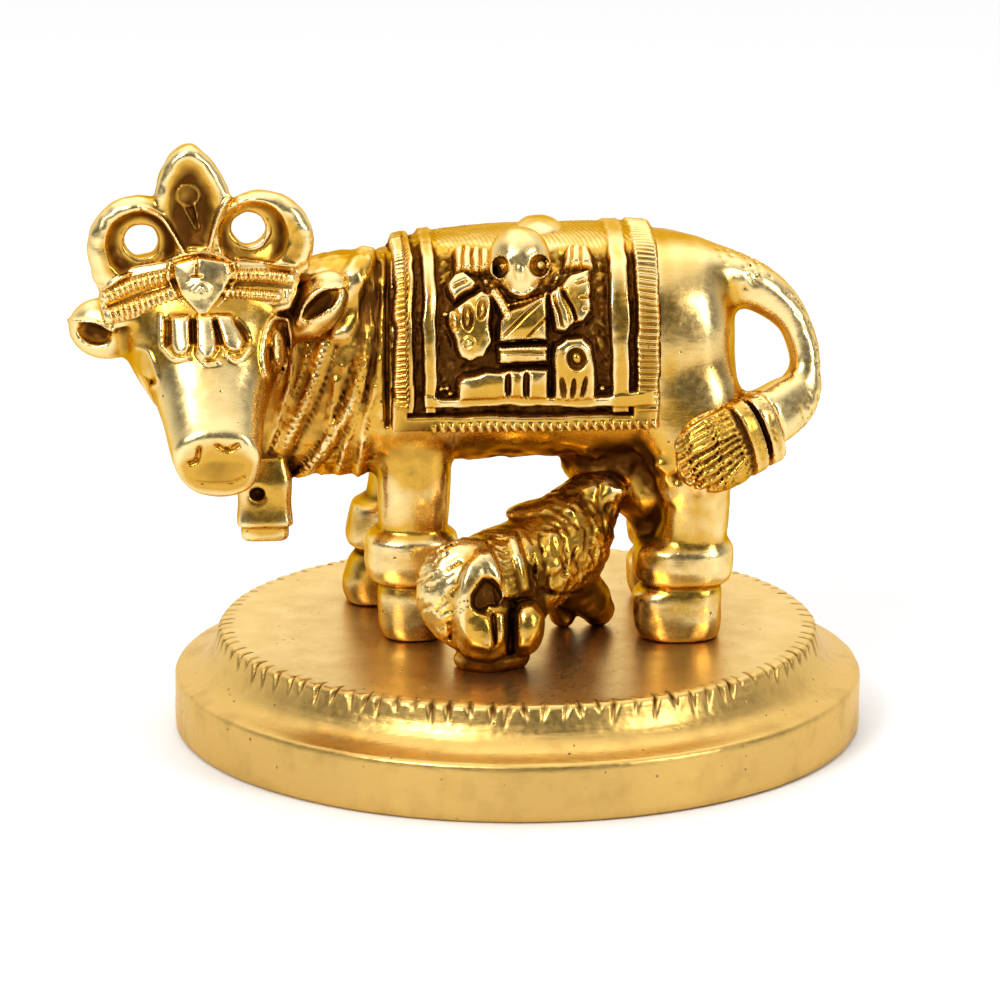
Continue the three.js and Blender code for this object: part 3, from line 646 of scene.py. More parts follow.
def make_head():
    """The face, brow and ears."""
    head = Field("cow_head", (-50, -23.5, 18), (-17.5, 3, 45.5))
    head.add(*head.whole, prism((0, -0.83, -0.56), (0, -0.56, 0.83), [
        [-19.2, -34.4, 29.3, 6.4, 5], [-16.8, -34.4, 32.1, 8.6, 6.4], [-13.1, -34.4, 32.9, 9, 7],
        [-9.4, -34, 32.3, 8.1, 6.4], [-5.9, -33.6, 31.3, 6.6, 5.6], [-1.9, -33.4, 30.4, 5.5, 4.8],
        [2.7, -33.1, 29.6, 4.9, 4.1], [5.6, -33, 29.4, 4.4, 3.7]], power=2.4, round_end=0.8))
    # the flat of the nose
    head.d = np.maximum(head.d, rounded_meet(head.d, nose_plane(*head.part(*head.whole)[1]), 0.7))

    # the brow block that carries the ribbed bars, bent back at both sides
    brow = [(-44.6, 39.6), (-41.9, 41.7), (-37.8, 42.5), (-34.6, 43), (-30, 42.3), (-24.6, 42),
            (-23.7, 41.4), (-24.3, 38.6), (-25, 37), (-29.5, 36.2), (-34, 34.5), (-38, 36),
            (-41, 35.8), (-44.4, 35)]
    head.add((-46, -15, 33), (-22.5, -2, 44.5), plate(brow, -13, -5.8, 0.5, brow_bend), 0.6)
    # the muzzle keeps to its outline
    head.cut((-42, -25, 16), (-24, -11, 30),
             lambda x, y, z: -outline_distance(*seen(x, y, z), MUZZLE), 0.6)

    # ears
    add_egg(head, (-44.7, -8, 34.6), (3.9, 2.6, 3.3), 1.0, lean=10)
    add_egg(head, (-21.7, -8.2, 37), (2.7, 2.6, 3.9), 0.8, lean=32)
    add_rod(head, (-29, -7, 34), (-23, -7, 34.6), 3.4, 1.6, soft=1.5)
    add_egg(head, (-46.1, -11.2, 34.5), (2.3, 2.5, 1.5), 0.25, cut=True, lean=16)
    add_egg(head, (-21.6, -11.1, 37.4), (2.9, 2.3, 1.1), 0.25, cut=True, lean=-39)
    relief = face_relief()
    head.push(*head.whole, lambda x, y, z: relief.seen_at(x, y, z) * ramp((-y - 3) / 3))
    head.push(*head.whole, lambda x, y, z: 0.03 * grain(x, y, z, 1.4, 3), 0.8)

    # painted shade in the ear openings and on the flat of the nose, and the front of the face paler as
    # rubbed brass with a painted highlight
    def patina_and_painted_light(x, y, z):
        left = np.hypot((x + 46.3) / 2.2, (z - 34.3) / 1.5)
        right = np.hypot((x + 21.6) / 2.6, (z - 37.2) / 2)
        return 0.14 * ramp(1.3 - left) + 0.14 * ramp(1.3 - right) \
            - 0.1 * ramp((-14 - y) / 3) * ramp((z - 22.4) / 1.2) \
            + 0.16 * ramp((nose_plane(x, y, z) + 0.4) / 0.3)
    return make_piece(head, patina_and_painted_light=patina_and_painted_light)


def make_brow():
    """The shield and the ribbed bars over the eyes."""
    brow = Field("cow_brow", (-46, -15.2, 35.3), (-23, -8, 44))
    outline = [(-45.2, 38), (-44.8, 39.7), (-41.9, 41.7), (-37.8, 42.5), (-34.6, 43.1), (-30, 42.3),
               (-24.6, 42), (-23.9, 40), (-25.1, 37.6), (-30, 37.3), (-32.6, 36.6), (-34.2, 35.6),
               (-36, 36.8), (-38.4, 37.4), (-41, 36.4), (-44.6, 35.7)]
    brow.add(*brow.whole, plate(outline, -13.1, -9.7, 0.4, brow_bend))
    relief = brow_relief()
    brow.push(*brow.whole,
              lambda x, y, z: relief.seen_at(x, y, z) + 0.03 * grain(x, y, z, 0.8, 4), 1.2)
    # the shield and bars are drawn paler all over, as a painted highlight
    return make_piece(brow, hollow_radius=0.4, patina_and_painted_light=lambda x, y, z: -0.1 + 0 * x)


def brow_relief():
    """The shield and bars, drawn as the camera sees them."""
    s = Sheet((-47, 34), (-22, 45), 0.06)
    # shield with its ribbed border
    s.slab([(-37.2, 42.3), (-37.2, 40.9), (-36.5, 38.9), (-34.7, 36.6), (-33.8, 36.6),
            (-32.2, 38.9), (-31.1, 40.9), (-31.3, 42.4), (-34.6, 43)], 0.75, 0.35)
    s.ridge([(-37.6, 42.6), (-37.9, 40.9), (-37, 38.6), (-35.3, 36.9)], 0.55, 0.5)
    s.ridge([(-30.9, 42.4), (-30.6, 40.6), (-31.9, 38.4), (-33.4, 36.9)], 0.55, 0.5)
    s.ribs([(-37.1, 39.2), (-35.1, 36.7)], 0.7, 0.5, 0.3)
    s.ribs([(-31.4, 39.2), (-33.2, 36.9)], 0.7, 0.5, 0.3)
    s.ribs([(-31.4, 42.1), (-31.2, 39.8)], 0.8, 0.5, 0.3)
    s.ridge([(-34.85, 42.9), (-34.85, 41)], 0.4, -0.4)
    s.ridge([(-35.4, 40.9), (-34.3, 40.9)], 0.4, -0.4)
    s.dome((-34.8, 39.5), (1.6, 0.9), 0.25)
    # ribbed bars from the shield to the ears
    bars = [[(-44.4, 38.8), (-41.4, 40.2), (-38, 41)], [(-44, 36.8), (-41, 37.8), (-37.6, 39)],
            [(-30.6, 41), (-28, 41), (-25, 40.6)], [(-31.5, 39.1), (-29.2, 38.9), (-26.4, 38.6)]]
    for line, width, pitch in zip(bars, (1.7, 2.1, 1.5, 1.3), (0.62, 0.6, 0.5, 0.5)):
        s.bend(line, width + 1, 0.35)
        s.ribs(curve(line), width, pitch, 0.5, sharp=1.2)
    s.bend([(-44.2, 37.8), (-41, 39), (-37.8, 40)], 0.35, -0.3)
    s.bend([(-31, 40.05), (-28, 39.95), (-24.8, 39.6)], 0.35, -0.35)
    s.bend([(-31.4, 38), (-29.6, 37.6), (-27.8, 37.1)], 0.7, -0.5)
    for k in range(4):
        s.ridge([(-25.9 + 0.45 * k, 39.4), (-25.7 + 0.45 * k, 37.4)], 0.3, 0.2)
    return s


def nose_plane(x, y, z):
    """Distance in front of the flat of the nose."""
    return -(y + 20.6) * 0.966 - (z - 22) * 0.26


def face_relief():
    """Everything raised and cut on the face, drawn as the camera sees it."""
    s = Sheet((-50, 17), (-17, 46))
    # petals over the forehead, with slots between them and a scalloped lip below
    for petal in (
            [(-37.6, 36.7), (-35.7, 36.7), (-35.6, 33.4), (-36.1, 32.5), (-37.1, 32.5), (-37.6, 33.4)],
            [(-35, 36.7), (-33.1, 36.7), (-32.8, 33), (-33.5, 32), (-34.3, 32), (-35, 33)],
            [(-33, 36.8), (-31.2, 36.7), (-29.8, 33.7), (-30.4, 32.7), (-31.4, 32.8), (-32.3, 33.7)]):
        s.slab(petal, 0.75, 0.5, 0.35)
    for line in ([(-38, 36.1), (-38.1, 33.6)], [(-35.35, 36), (-35.35, 33.9)],
                 [(-33, 36), (-32.3, 33.7)], [(-30.7, 35.9), (-29.9, 34.9), (-29.6, 33.9)]):
        s.ridge(line, 0.95, -0.6)
    for line in ([(-38.5, 33.2), (-37.2, 32), (-35.8, 32.1)],
                 [(-35, 32.6), (-33.8, 31.4), (-32.7, 31.6)],
                 [(-31.9, 32.5), (-30.7, 31.7), (-29.2, 33)]):
        s.bend(line, 0.6, 0.45)
    s.ridge([(-38.7, 36.8), (-38.7, 33.4)], 0.5, 0.35)
    # right eye: a long coil round a lid and a pupil
    s.bend([(-25.3, 36.2), (-26.5, 36.3), (-27.5, 34.6), (-27.9, 32.2), (-27.7, 30.4),
            (-27.3, 29.9)], 0.9, 0.6, 40)
    s.bend([(-26.3, 35.6), (-26.9, 34), (-27.1, 32), (-26.9, 30.6)], 0.4, -0.3)
    s.bend([(-25.2, 35.9), (-24.9, 33.5), (-25.4, 31), (-26.2, 29.2)], 0.8, 0.6, 30)
    s.dome((-26.1, 32.6), (0.8, 2.6), 0.7, turn=8)
    s.bend([(-25.6, 35.2), (-25.4, 33), (-25.9, 30.3)], 0.35, -0.2)
    s.ring((-26.1, 33.6), 0.4, 0.25, 0.25)
    s.ring((-26.1, 31.6), 0.4, 0.25, 0.25)
    # left eye, seen from its edge
    s.bend([(-41.4, 33.3), (-40.2, 33), (-39.5, 31.4), (-39.2, 29.8), (-40, 28.6)], 0.7, 0.2)
    s.dome((-40.3, 31.5), (0.8, 1.7), 0.15)
    s.dome((-39.6, 29.6), (0.4, 0.4), -0.5)
    # rims of the ear openings
    s.bend([(-48.6, 36.4), (-46, 36.2), (-43.6, 35.1)], 0.6, 0.4)
    s.bend([(-24.3, 35.5), (-23.3, 38), (-21.5, 39.4), (-19.3, 39.6)], 0.6, 0.35)
    for k in range(6):
        s.dome((-23 + 0.42 * k, 35.9 + 0.25 * k), (0.2, 0.35), 0.4, turn=30)
    # nostrils, mouth and the crease at the side of the muzzle
    s.bend([(-35.9, 20.6), (-35.1, 21), (-34.8, 22.3)], 0.7, -0.6)
    s.bend([(-33, 22.5), (-31.9, 22), (-30.6, 22.6)], 0.7, -0.6)
    s.bend([(-35.4, 18.6), (-33.6, 18.3), (-31.6, 18.4), (-29.9, 19.1)], 0.4, -0.3)
    return s


RING_RADIUS = 5.5
RING_HOLE = 1.75


def square_round(centre, half, near, far):
    """Corners of the box round a centre in X and Z, from y = near to y = far."""
    return (centre[0] - half, near, centre[1] - half), (centre[0] + half, far, centre[1] + half)


def make_crown():
    """The leaf and the two pierced rings over the brow."""
    near, far = -11.8, -8.6
    crown = Field("cow_crown", (-47.3, -13.6, 36.5), (-21, -6.5, 56))
    rings = [((-40.8, 43.8), (-40.6, 44.4)), ((-27.9, 44.2), (-29.3, 45.6))]
    leaf = curve([(-37.2, 40), (-38.2, 44.4), (-39.2, 48.6), (-38.8, 51), (-37.6, 53.4), (-36.4, 54.5),
                  (-35.4, 54.8), (-34.4, 54.3), (-32.8, 52.6), (-31.7, 50.8), (-31.2, 49),
                  (-32.2, 44.6), (-33.4, 40)], 60)
    box = ((-47, -13.4, 36.8), (-21.3, -6.8, 55.8))
    crown.add((-40.5, near - 1, 38), (-30, far + 1, 55.8), plate(leaf, near, far, 1.1), 0.3)
    for centre, hole in rings:
        def disc(x, y, z, at=centre):
            out = np.hypot(x - at[0], z - at[1]) - RING_RADIUS
            return rounded_meet(out, np.abs(y - (near + far) / 2) - (far - near) / 2, 1.3)
        crown.add(*square_round(centre, 6.3, near - 1.5, far + 1), disc, 0.4)
    foot = [(-44.8, 37.2), (-42, 38.6), (-38, 40.8), (-31, 41), (-26, 40), (-22.8, 41.2), (-23.2, 43.2),
            (-29, 43), (-34.6, 44.4), (-40, 42.6), (-45.8, 41.2)]
    crown.add((-46.5, near, 36.6), (-22, far + 3, 45), plate(foot, near + 0.9, far + 2, 0.6), 0.5)
    # scooped leaf, dished rings and their holes
    add_egg(crown, (-35.3, near - 1.6, 48.4), (3.1, 2.9, 5.6), 0.5, cut=True)
    for centre, hole in rings:
        dish = ((centre[0] + 2 * hole[0]) / 3, (centre[1] + 2 * hole[1]) / 3)
        reach = square_round(dish, 5, near - 1.5, far + 1)
        crown.cut(*reach, egg((dish[0], near - 0.4, dish[1]), (3.8, 2.7, 3.8)), 0.25)

        def bore(x, y, z, at=hole):
            return np.hypot(x - at[0], z - at[1]) - RING_HOLE + 0 * y

        def lip(x, y, z, at=hole):
            return np.hypot(np.hypot(x - at[0], z - at[1]) - RING_HOLE - 0.4, y - near - 1.9) - 0.34
        crown.cut(*reach, bore, 0.2)
        crown.add(*reach, lip, 0.15)
    # the brow bars stand in front of its foot
    line = [(-48, 36.5), (-46, 39), (-44.2, 39.7), (-41.4, 41), (-38, 42), (-34.6, 42.9), (-30, 42.1),
            (-24.6, 41.8), (-22, 42), (-20, 36)]
    crown.cut((-47.3, -14, 36.4), (-21, near + 1.8, 43.5), plate(line, near - 3, near + 1.5, 0.3), 0.5)
    s = Sheet((-48, 36), (-20, 57))
    # keyhole drop, with a groove round its bulb
    s.dome((-35.6, 49.6), (1, 1.1), 0.3)
    s.ring((-35.6, 49.6), 1.15, 0.45, 0.35)
    s.ridge([(-36.1, 48.4), (-34.9, 46)], 0.4, 0.35)
    s.ridge([(-34.9, 48.6), (-34.5, 46)], 0.4, 0.35)
    s.ridge([(-35.3, 48.6), (-34.8, 46.6)], 0.5, -0.2)
    # ridges from the leaf down to the rings, and along the foot
    s.bend([(-40.4, 48.3), (-38.6, 47.4), (-37.3, 45.6), (-36.2, 43.6)], 0.8, 0.6)
    s.bend([(-31.2, 49.4), (-32.4, 47.4), (-33, 45.6), (-33.4, 44)], 0.8, 0.5)
    s.bend([(-38.4, 42.4), (-36.4, 43.2), (-34.2, 43.5), (-32.2, 43), (-31, 42.4)], 0.6, 0.5)
    s.ridge([(-35.4, 44), (-33.8, 43.9)], 0.9, 0.3)
    s.bend([(-44.8, 39.5), (-42.2, 41.2), (-39.4, 42)], 0.6, 0.35)
    s.bend([(-30.2, 42.7), (-27, 42.2), (-24.2, 41.8)], 0.6, 0.3)
    crown.push(*box, lambda x, y, z: s.seen_at(x, y, z) * ramp((-y - 9) / 1.5), 0.9)
    crown.push(*box, lambda x, y, z: 0.09 * grain(x, y, z, 0.9, 11)
               + 0.22 * grain(x, y, z, 1.3, 12) * ramp((43.4 - z) / 3), 0.8)

    # darker all over, and more in the scooped leaf and the dished rings on the near side: patina and
    # painted shade
    def patina_and_painted_light(x, y, z):
        inner = ramp((-0.6 - outline_distance(x, z, leaf)) / 1.2)
        for centre, _ in rings:
            band = np.hypot(x - centre[0], z - centre[1])
            inner = np.maximum(inner, within(band, 1, 4.6, 1, 0.8))
        return 0.09 + 0.16 * inner * ramp(-9.6 - y)
    return make_piece(crown, patina_and_painted_light=patina_and_painted_light)


# ---------------------------------------------------------------- legs, neck and bell
# Sections of a leg: z, offset along x, shares of the step forward and of the lean towards the
# middle of the trunk, half along x and half along y
FRONT_LEG = [
    [0, -0.2, 1, 0, 3.3, 3.7], [0.8, -0.3, 1, 0, 3.7, 3.9], [3.6, -0.3, 0.8, 0, 3.8, 3.9],
    [4.9, -0.4, 0.6, 0, 3.5, 3.7], [5.3, -0.5, 0.5, 0, 3.2, 3.5], [5.7, -0.5, 0.5, 0, 4.1, 4.3],
    [6.3, -0.5, 0.5, 0, 4.7, 4.7], [8.2, -0.4, 0.4, 0, 5.1, 5], [10.4, -0.3, 0.3, 0, 5, 4.9],
    [11.1, -0.3, 0.2, 0, 4.3, 4.4], [11.6, -0.2, 0.2, 0, 3.8, 4], [14, -0.1, 0.1, 0, 3.9, 4.1],
    [24, 0, 0, 0.15, 4.3, 4.8], [27, 0, 0, 0.15, 4.6, 5]]
HIND_LEG = [
    [0, -0.4, 0, 0, 4.4, 4.1], [0.8, -0.5, 0, 0, 4.8, 4.3], [3.6, -0.6, 0, 0, 4.9, 4.2],
    [4.8, -0.2, 0, 0, 4.5, 4], [5.2, 0, 0, 0, 4, 3.7], [5.6, 0, 0, 0, 4.9, 4.3],
    [6.2, 0, 0, 0, 5.3, 4.6], [7.6, 0, 0, 0, 5.5, 4.8], [9.2, 0.1, 0, 0, 5.4, 4.7],
    [9.8, 0.3, 0, 0, 4.9, 4.3], [10.5, 0.8, 0, 0, 4, 4.1], [13.5, 1.2, 0, 0, 3.8, 4.2],
    [19, 0.8, 0, 0, 4.9, 4.9], [26, -0.2, 0, 0.1, 6.4, 5], [33, -0.8, 0, 0.3, 5, 4]]


def add_leg(field, table, x, y, forward=0.0):
    """A leg that stands on the plinth at x and y, with its foot a step forward."""
    z, offset, step, lean, half_x, half_y = np.array(table, float).T
    stations = np.stack([z, x + offset - step * forward, y + (MIDDLE - y) * lean, half_x, half_y], 1)
    stations[0, 0] = PLINTH_TOP - SOLE
    reach = stations[:, 3:].max() + 0.8
    low, high = stations[:, 1:3].min(0) - reach, stations[:, 1:3].max(0) + reach
    field.add((*low, stations[0, 0] - 0.6), (*high, stations[-1, 0] + 1),
              prism((0, 0, 1), (0, 1, 0), stations, 2.5, 0.35), 0.9)


FRONT_END = -7.0


def neck_relief():
    """Straps, folds and hair of the neck, drawn as the camera sees it."""
    s = Sheet((-33, 14), (-8, 47))
    # a smooth sweep behind the ear
    s.slab([(-19.4, 41), (-17.6, 44.4), (-15.4, 45.6), (-16.2, 42), (-17.4, 38.5), (-17.6, 36.3),
            (-18.7, 33.8), (-20.9, 33.8), (-20.5, 36.4), (-19, 40.3)], 0.6, 0.8)
    # ribbed straps
    for line, width, pitch in (
            ([(-21.5, 33.2), (-22.5, 29.9), (-23.6, 27), (-24.9, 24.1), (-26.3, 21.2), (-28, 18)],
             1.5, 0.7),
            ([(-17.4, 31.6), (-18.4, 27.6), (-20.1, 24), (-22.4, 20.8), (-24.9, 18.4)], 1.2, 0.62)):
        line = curve(line, 40)
        s.ridge(line, width + 0.9, 0.4)
        s.ribs(line, width, pitch, 0.3, sharp=1.2)
        for side in (-1, 1):
            s.ridge(line + [side * 0.62 * width, 0], 0.35, 0.2)
            s.ridge(line + [side * (0.62 * width + 0.4), 0], 0.35, -0.35)
    # loose folds between and beside them
    for line, width, height in (
            ([(-20.2, 29.4), (-20.7, 26), (-21.6, 22.6), (-23, 19.2)], 1.3, 0.35),
            ([(-15.7, 31.6), (-16.1, 28.3), (-17.2, 24.7), (-17.8, 18.6)], 1.2, 0.35),
            ([(-16.9, 34), (-17.2, 29), (-18.6, 24), (-20.2, 19.4)], 0.8, 0.3),
            ([(-24.7, 33.9), (-25.1, 29.9), (-26.3, 25.6), (-27.9, 21)], 1.0, 0.45),
            ([(-23, 33.2), (-24.1, 29.5), (-25.5, 25.6), (-27, 21.6)], 0.8, 0.4)):
        s.bend(line, width, height, 30)
    # fine lines beside the sweep, and the dark channel before the cloth
    for k in range(5):
        x = -17.6 + 0.45 * k
        s.bend([(x + 0.6, 43.5), (x + 0.2, 39), (x, 35), (x - 0.3, 31.5)], 0.3,
               rng.uniform(-0.3, -0.15), 30)
    s.bend([(-14.6, 43.8), (-14.75, 34), (-14.8, 24.5)], 0.9, -0.7, 30)
    s.bend([(-15.6, 42), (-15.9, 34), (-16.2, 30)], 1.2, -0.35, 30)
    # hair
    for _ in range(60):
        x, z = rng.uniform(-24.5, -16), rng.uniform(20, 33)
        if x < -17.5 - 0.42 * (33 - z) or x > -15.4:
            continue
        bend = rng.uniform(-0.7, 0.7)
        s.bend([(x, z), (x + bend, z - 0.7), (x - 0.2, z - 1.4)], 0.3, rng.uniform(-0.35, -0.15), 10)
    for k in range(7):
        x = -16.6 - 0.95 * k + rng.uniform(-0.2, 0.2)
        s.bend([(x + 0.3, 22.6), (x, 20.6), (x - 0.5, 18.2)], 0.7, 0.2 if k % 2 else -0.2)
    return s


def make_front():
    """Neck, chest, collars, hanging folds, bell and front legs."""
    front = Field("cow_front", (-39.5, -13.8, -1.4), (FRONT_END + 0.5, 15, 44.5))
    front.add(*front.whole, lambda x, y, z: rounded_meet(trunk(-60, FRONT_END)(x, y, z), -38 - x, 3))
    front.push(*front.whole, under_cloth)
    add_egg(front, (-18.8, -3.2, 38.8), (6.6, 4.6, 2.9), 1.8, lean=-3)
    add_leg(front, FRONT_LEG, -11.6, -5)
    add_leg(front, FRONT_LEG, -11.7, 9.6, forward=3.4)
    s = neck_relief()

    def neck(x, y, z):
        side = ramp((-y - 1) / 3)
        rough = ramp((-13.6 - x) / 1.2) * ramp((z - 17) / 2)
        return (s.seen_at(x, y, z) * side + rough * (0.1 * grain(x, y, z, 0.6, 21)
                + 0.1 * grain(x, y, z, 1.2, 22)) + 0.05 * grain(x, y, z, 1.2, 23))
    front.push(*front.whole, neck, 1.2)

    # bell: a flared block, a lip below it and a hole for its ring
    for stations in ([[12.2, -27.9, -5.4, 3.1, 2.8], [14.6, -27.9, -5.2, 2.9, 2.6],
                      [17, -27.9, -5, 3, 2.7], [19.8, -27.9, -4.4, 2.4, 2.4]],
                     [[10.5, -27.9, -5.4, 2.2, 2], [11, -27.9, -5.4, 2.6, 2.4],
                      [11.8, -27.9, -5.4, 2.6, 2.4], [12.6, -27.9, -5.4, 2.2, 2]]):
        front.add((-32, -9.5, 10), (-24, -1, 20.5), prism((0, 0, 1), (0, 1, 0), stations, 5, 0.35), 0.1)
    add_rod(front, (-28, -4, 19), (-28, -2.5, 24), 2.3, 3.4, soft=0.8)
    add_egg(front, (-28.7, -8.1, 15.9), (0.9, 1.7, 0.8), 0.3, cut=True)

    # painted shade on the bell under the chin, on the upper neck behind the ear, at the roots of the
    # legs and on the far foreleg, with a little patina on the rough neck
    def patina_and_painted_light(x, y, z):
        neck = ramp((-13.4 - x) / 1.5) * ramp((z - 18) / 2)
        behind = within(x, -19, -13.6, 2, 1) * ramp((z - 25) / 5)
        bell = ramp(-24 - x) * ramp(19 - z)
        root = within(z, 16, 22.5, 2) * ramp((x + 15) / 2)
        behind = behind * ramp((-y - 3) / 3) * ramp((43 - z) / 2)
        far_leg = ramp((y - 3) / 3) * ramp((19 - z) / 3)
        return 0.05 * neck + 0.16 * bell + 0.17 * behind + 0.09 * root + 0.1 * far_leg
    return make_piece(front, patina_and_painted_light=patina_and_painted_light)


def make_rear():
    """Barrel, thighs, udder and the loop of the tail."""
    rear = Field("cow_rear", (FRONT_END - 1.5, -14, -1.4), (35, 15, 44.5))
    rear.add(*rear.whole, trunk(FRONT_END - 1, 30))
    rear.push(*rear.whole, under_cloth)
    add_leg(rear, HIND_LEG, 17.6, -6.9)
    add_leg(rear, HIND_LEG, 18.4, 8.6)
    add_egg(rear, (9.8, 0, 17.4), (4.8, 6, 4.2), 1.4)
    add_egg(rear, (11.6, -3.4, 15), (2.4, 2.2, 3), 0.7, lean=-20)
    add_egg(rear, (14, -2, 15.5), (3.6, 6, 4.6), 1.2)
    add_rod(rear, (13.6, -3, 14), (14.4, -4.6, 8.8), 2.2, 1.5, soft=1)
    add_sweep(rear, [
        [15, -1, 36.6, 4.6, 6], [20, -1.4, 38.2, 3.6, 4.8], [24.4, -1.8, 37.5, 2.8, 3.5],
        [27.9, -2.2, 35.6, 2.3, 2.9], [30.3, -2.8, 32.5, 1.75, 2.5], [31.2, -3.6, 28.8, 1.65, 2.4],
        [30.5, -4.6, 26.2, 2.4, 2.5], [28.7, -6.2, 24.6, 3.1, 2.7],
        [26.2, -8, 23.5, 3.3, 2.9]], 2.5, soft=1.8)

    def skin(x, y, z):
        rough = within(z, 14, 22, 3, 2.5) * (0.45 + 0.55 * within(x, 3, 17, 5, 2))
        worn = 0.02 + 0.07 * ramp((21 - z) / 3)
        return (worn * grain(x, y, z, 1.5, 31) + 0.6 * worn * grain(x, y, z, 0.7, 32)
                + rough * (0.4 * grain(x, y, z, 1.1, 33) + 0.5 * grain(x, y, z, 1.9, 34)))
    rear.push(*rear.whole, skin, 0.9)
    # the pit in the near thigh
    add_egg(rear, (16.4, -12, 17.8), (0.8, 1.6, 0.8), 0.2, cut=True)

    # painted shade in the web between the hind legs and udder, along the belly and low on the near
    # flank, and the rump top paler as rubbed brass with a painted highlight
    def patina_and_painted_light(x, y, z):
        edge = x + 1.6 * grain(x, y, z, 2.4, 35)
        web = ramp((17 - edge) / 4) * within(z, 5, 22, 3)
        rump = ramp((x - 15) / 2) * ramp((z - 25) / 3)
        return (0.05 * within(z, 16, 23, 2) - 0.05 * rump
                + (0.16 + 0.12 * grain(x, y, z, 0.9, 36)) * web
                + 0.08 * ramp((-5 - y) / 3) * ramp((16 - x) / 2) * within(z, 16, 24, 2))
    return make_piece(rear, patina_and_painted_light=patina_and_painted_light)


def make_tuft():
    """The two rings on the tail and its carved tuft."""
    tuft = Field("tail_tuft", (12, -15, 15.5), (31, -3.5, 28.5))
    for ring in ([26.4, -8, 22.8, 4.1, 2.9], [24.4, -9.2, 22.2, 4.3, 2.9]):
        add_sweep(tuft, ring + np.outer([0, 0.35, 0.75], [-1.8, -1.1, -0.65, 0, 0]), 2.5)
    add_sweep(tuft, [
        [23.8, -9.3, 22, 3, 2], [22.2, -10.2, 21.4, 4.6, 2.5], [20, -11, 20.8, 4.7, 2.3],
        [18, -11.2, 20.4, 3.9, 1.9], [16.4, -11, 20.2, 2.3, 1.2]])
    s = Sheet((11, 13), (33, 30))
    top = np.array([(20.9, 26.3), (18.3, 25), (16, 23)])
    middle = np.array([(22.4, 23.4), (19.2, 21.8), (16.4, 20.2)])
    foot = np.array([(23.6, 20.2), (21.4, 18), (18.6, 16.2)])
    for k in range(11):
        share = k / 5 - 1
        line = middle + max(-share, 0) * (top - middle) + max(share, 0) * (foot - middle)
        s.bend(line + rng.uniform(-0.12, 0.12, (3, 2)), 0.62, rng.uniform(-0.5, -0.35))
    tuft.push(*tuft.whole,
              lambda x, y, z: s.seen_at(x, y, z) + 0.04 * grain(x, y, z, 1.2, 41), 0.9)
    return make_piece(tuft, patina_and_painted_light=lambda x, y, z: 0.18 + 0.04 * ramp((26 - x) / 4))


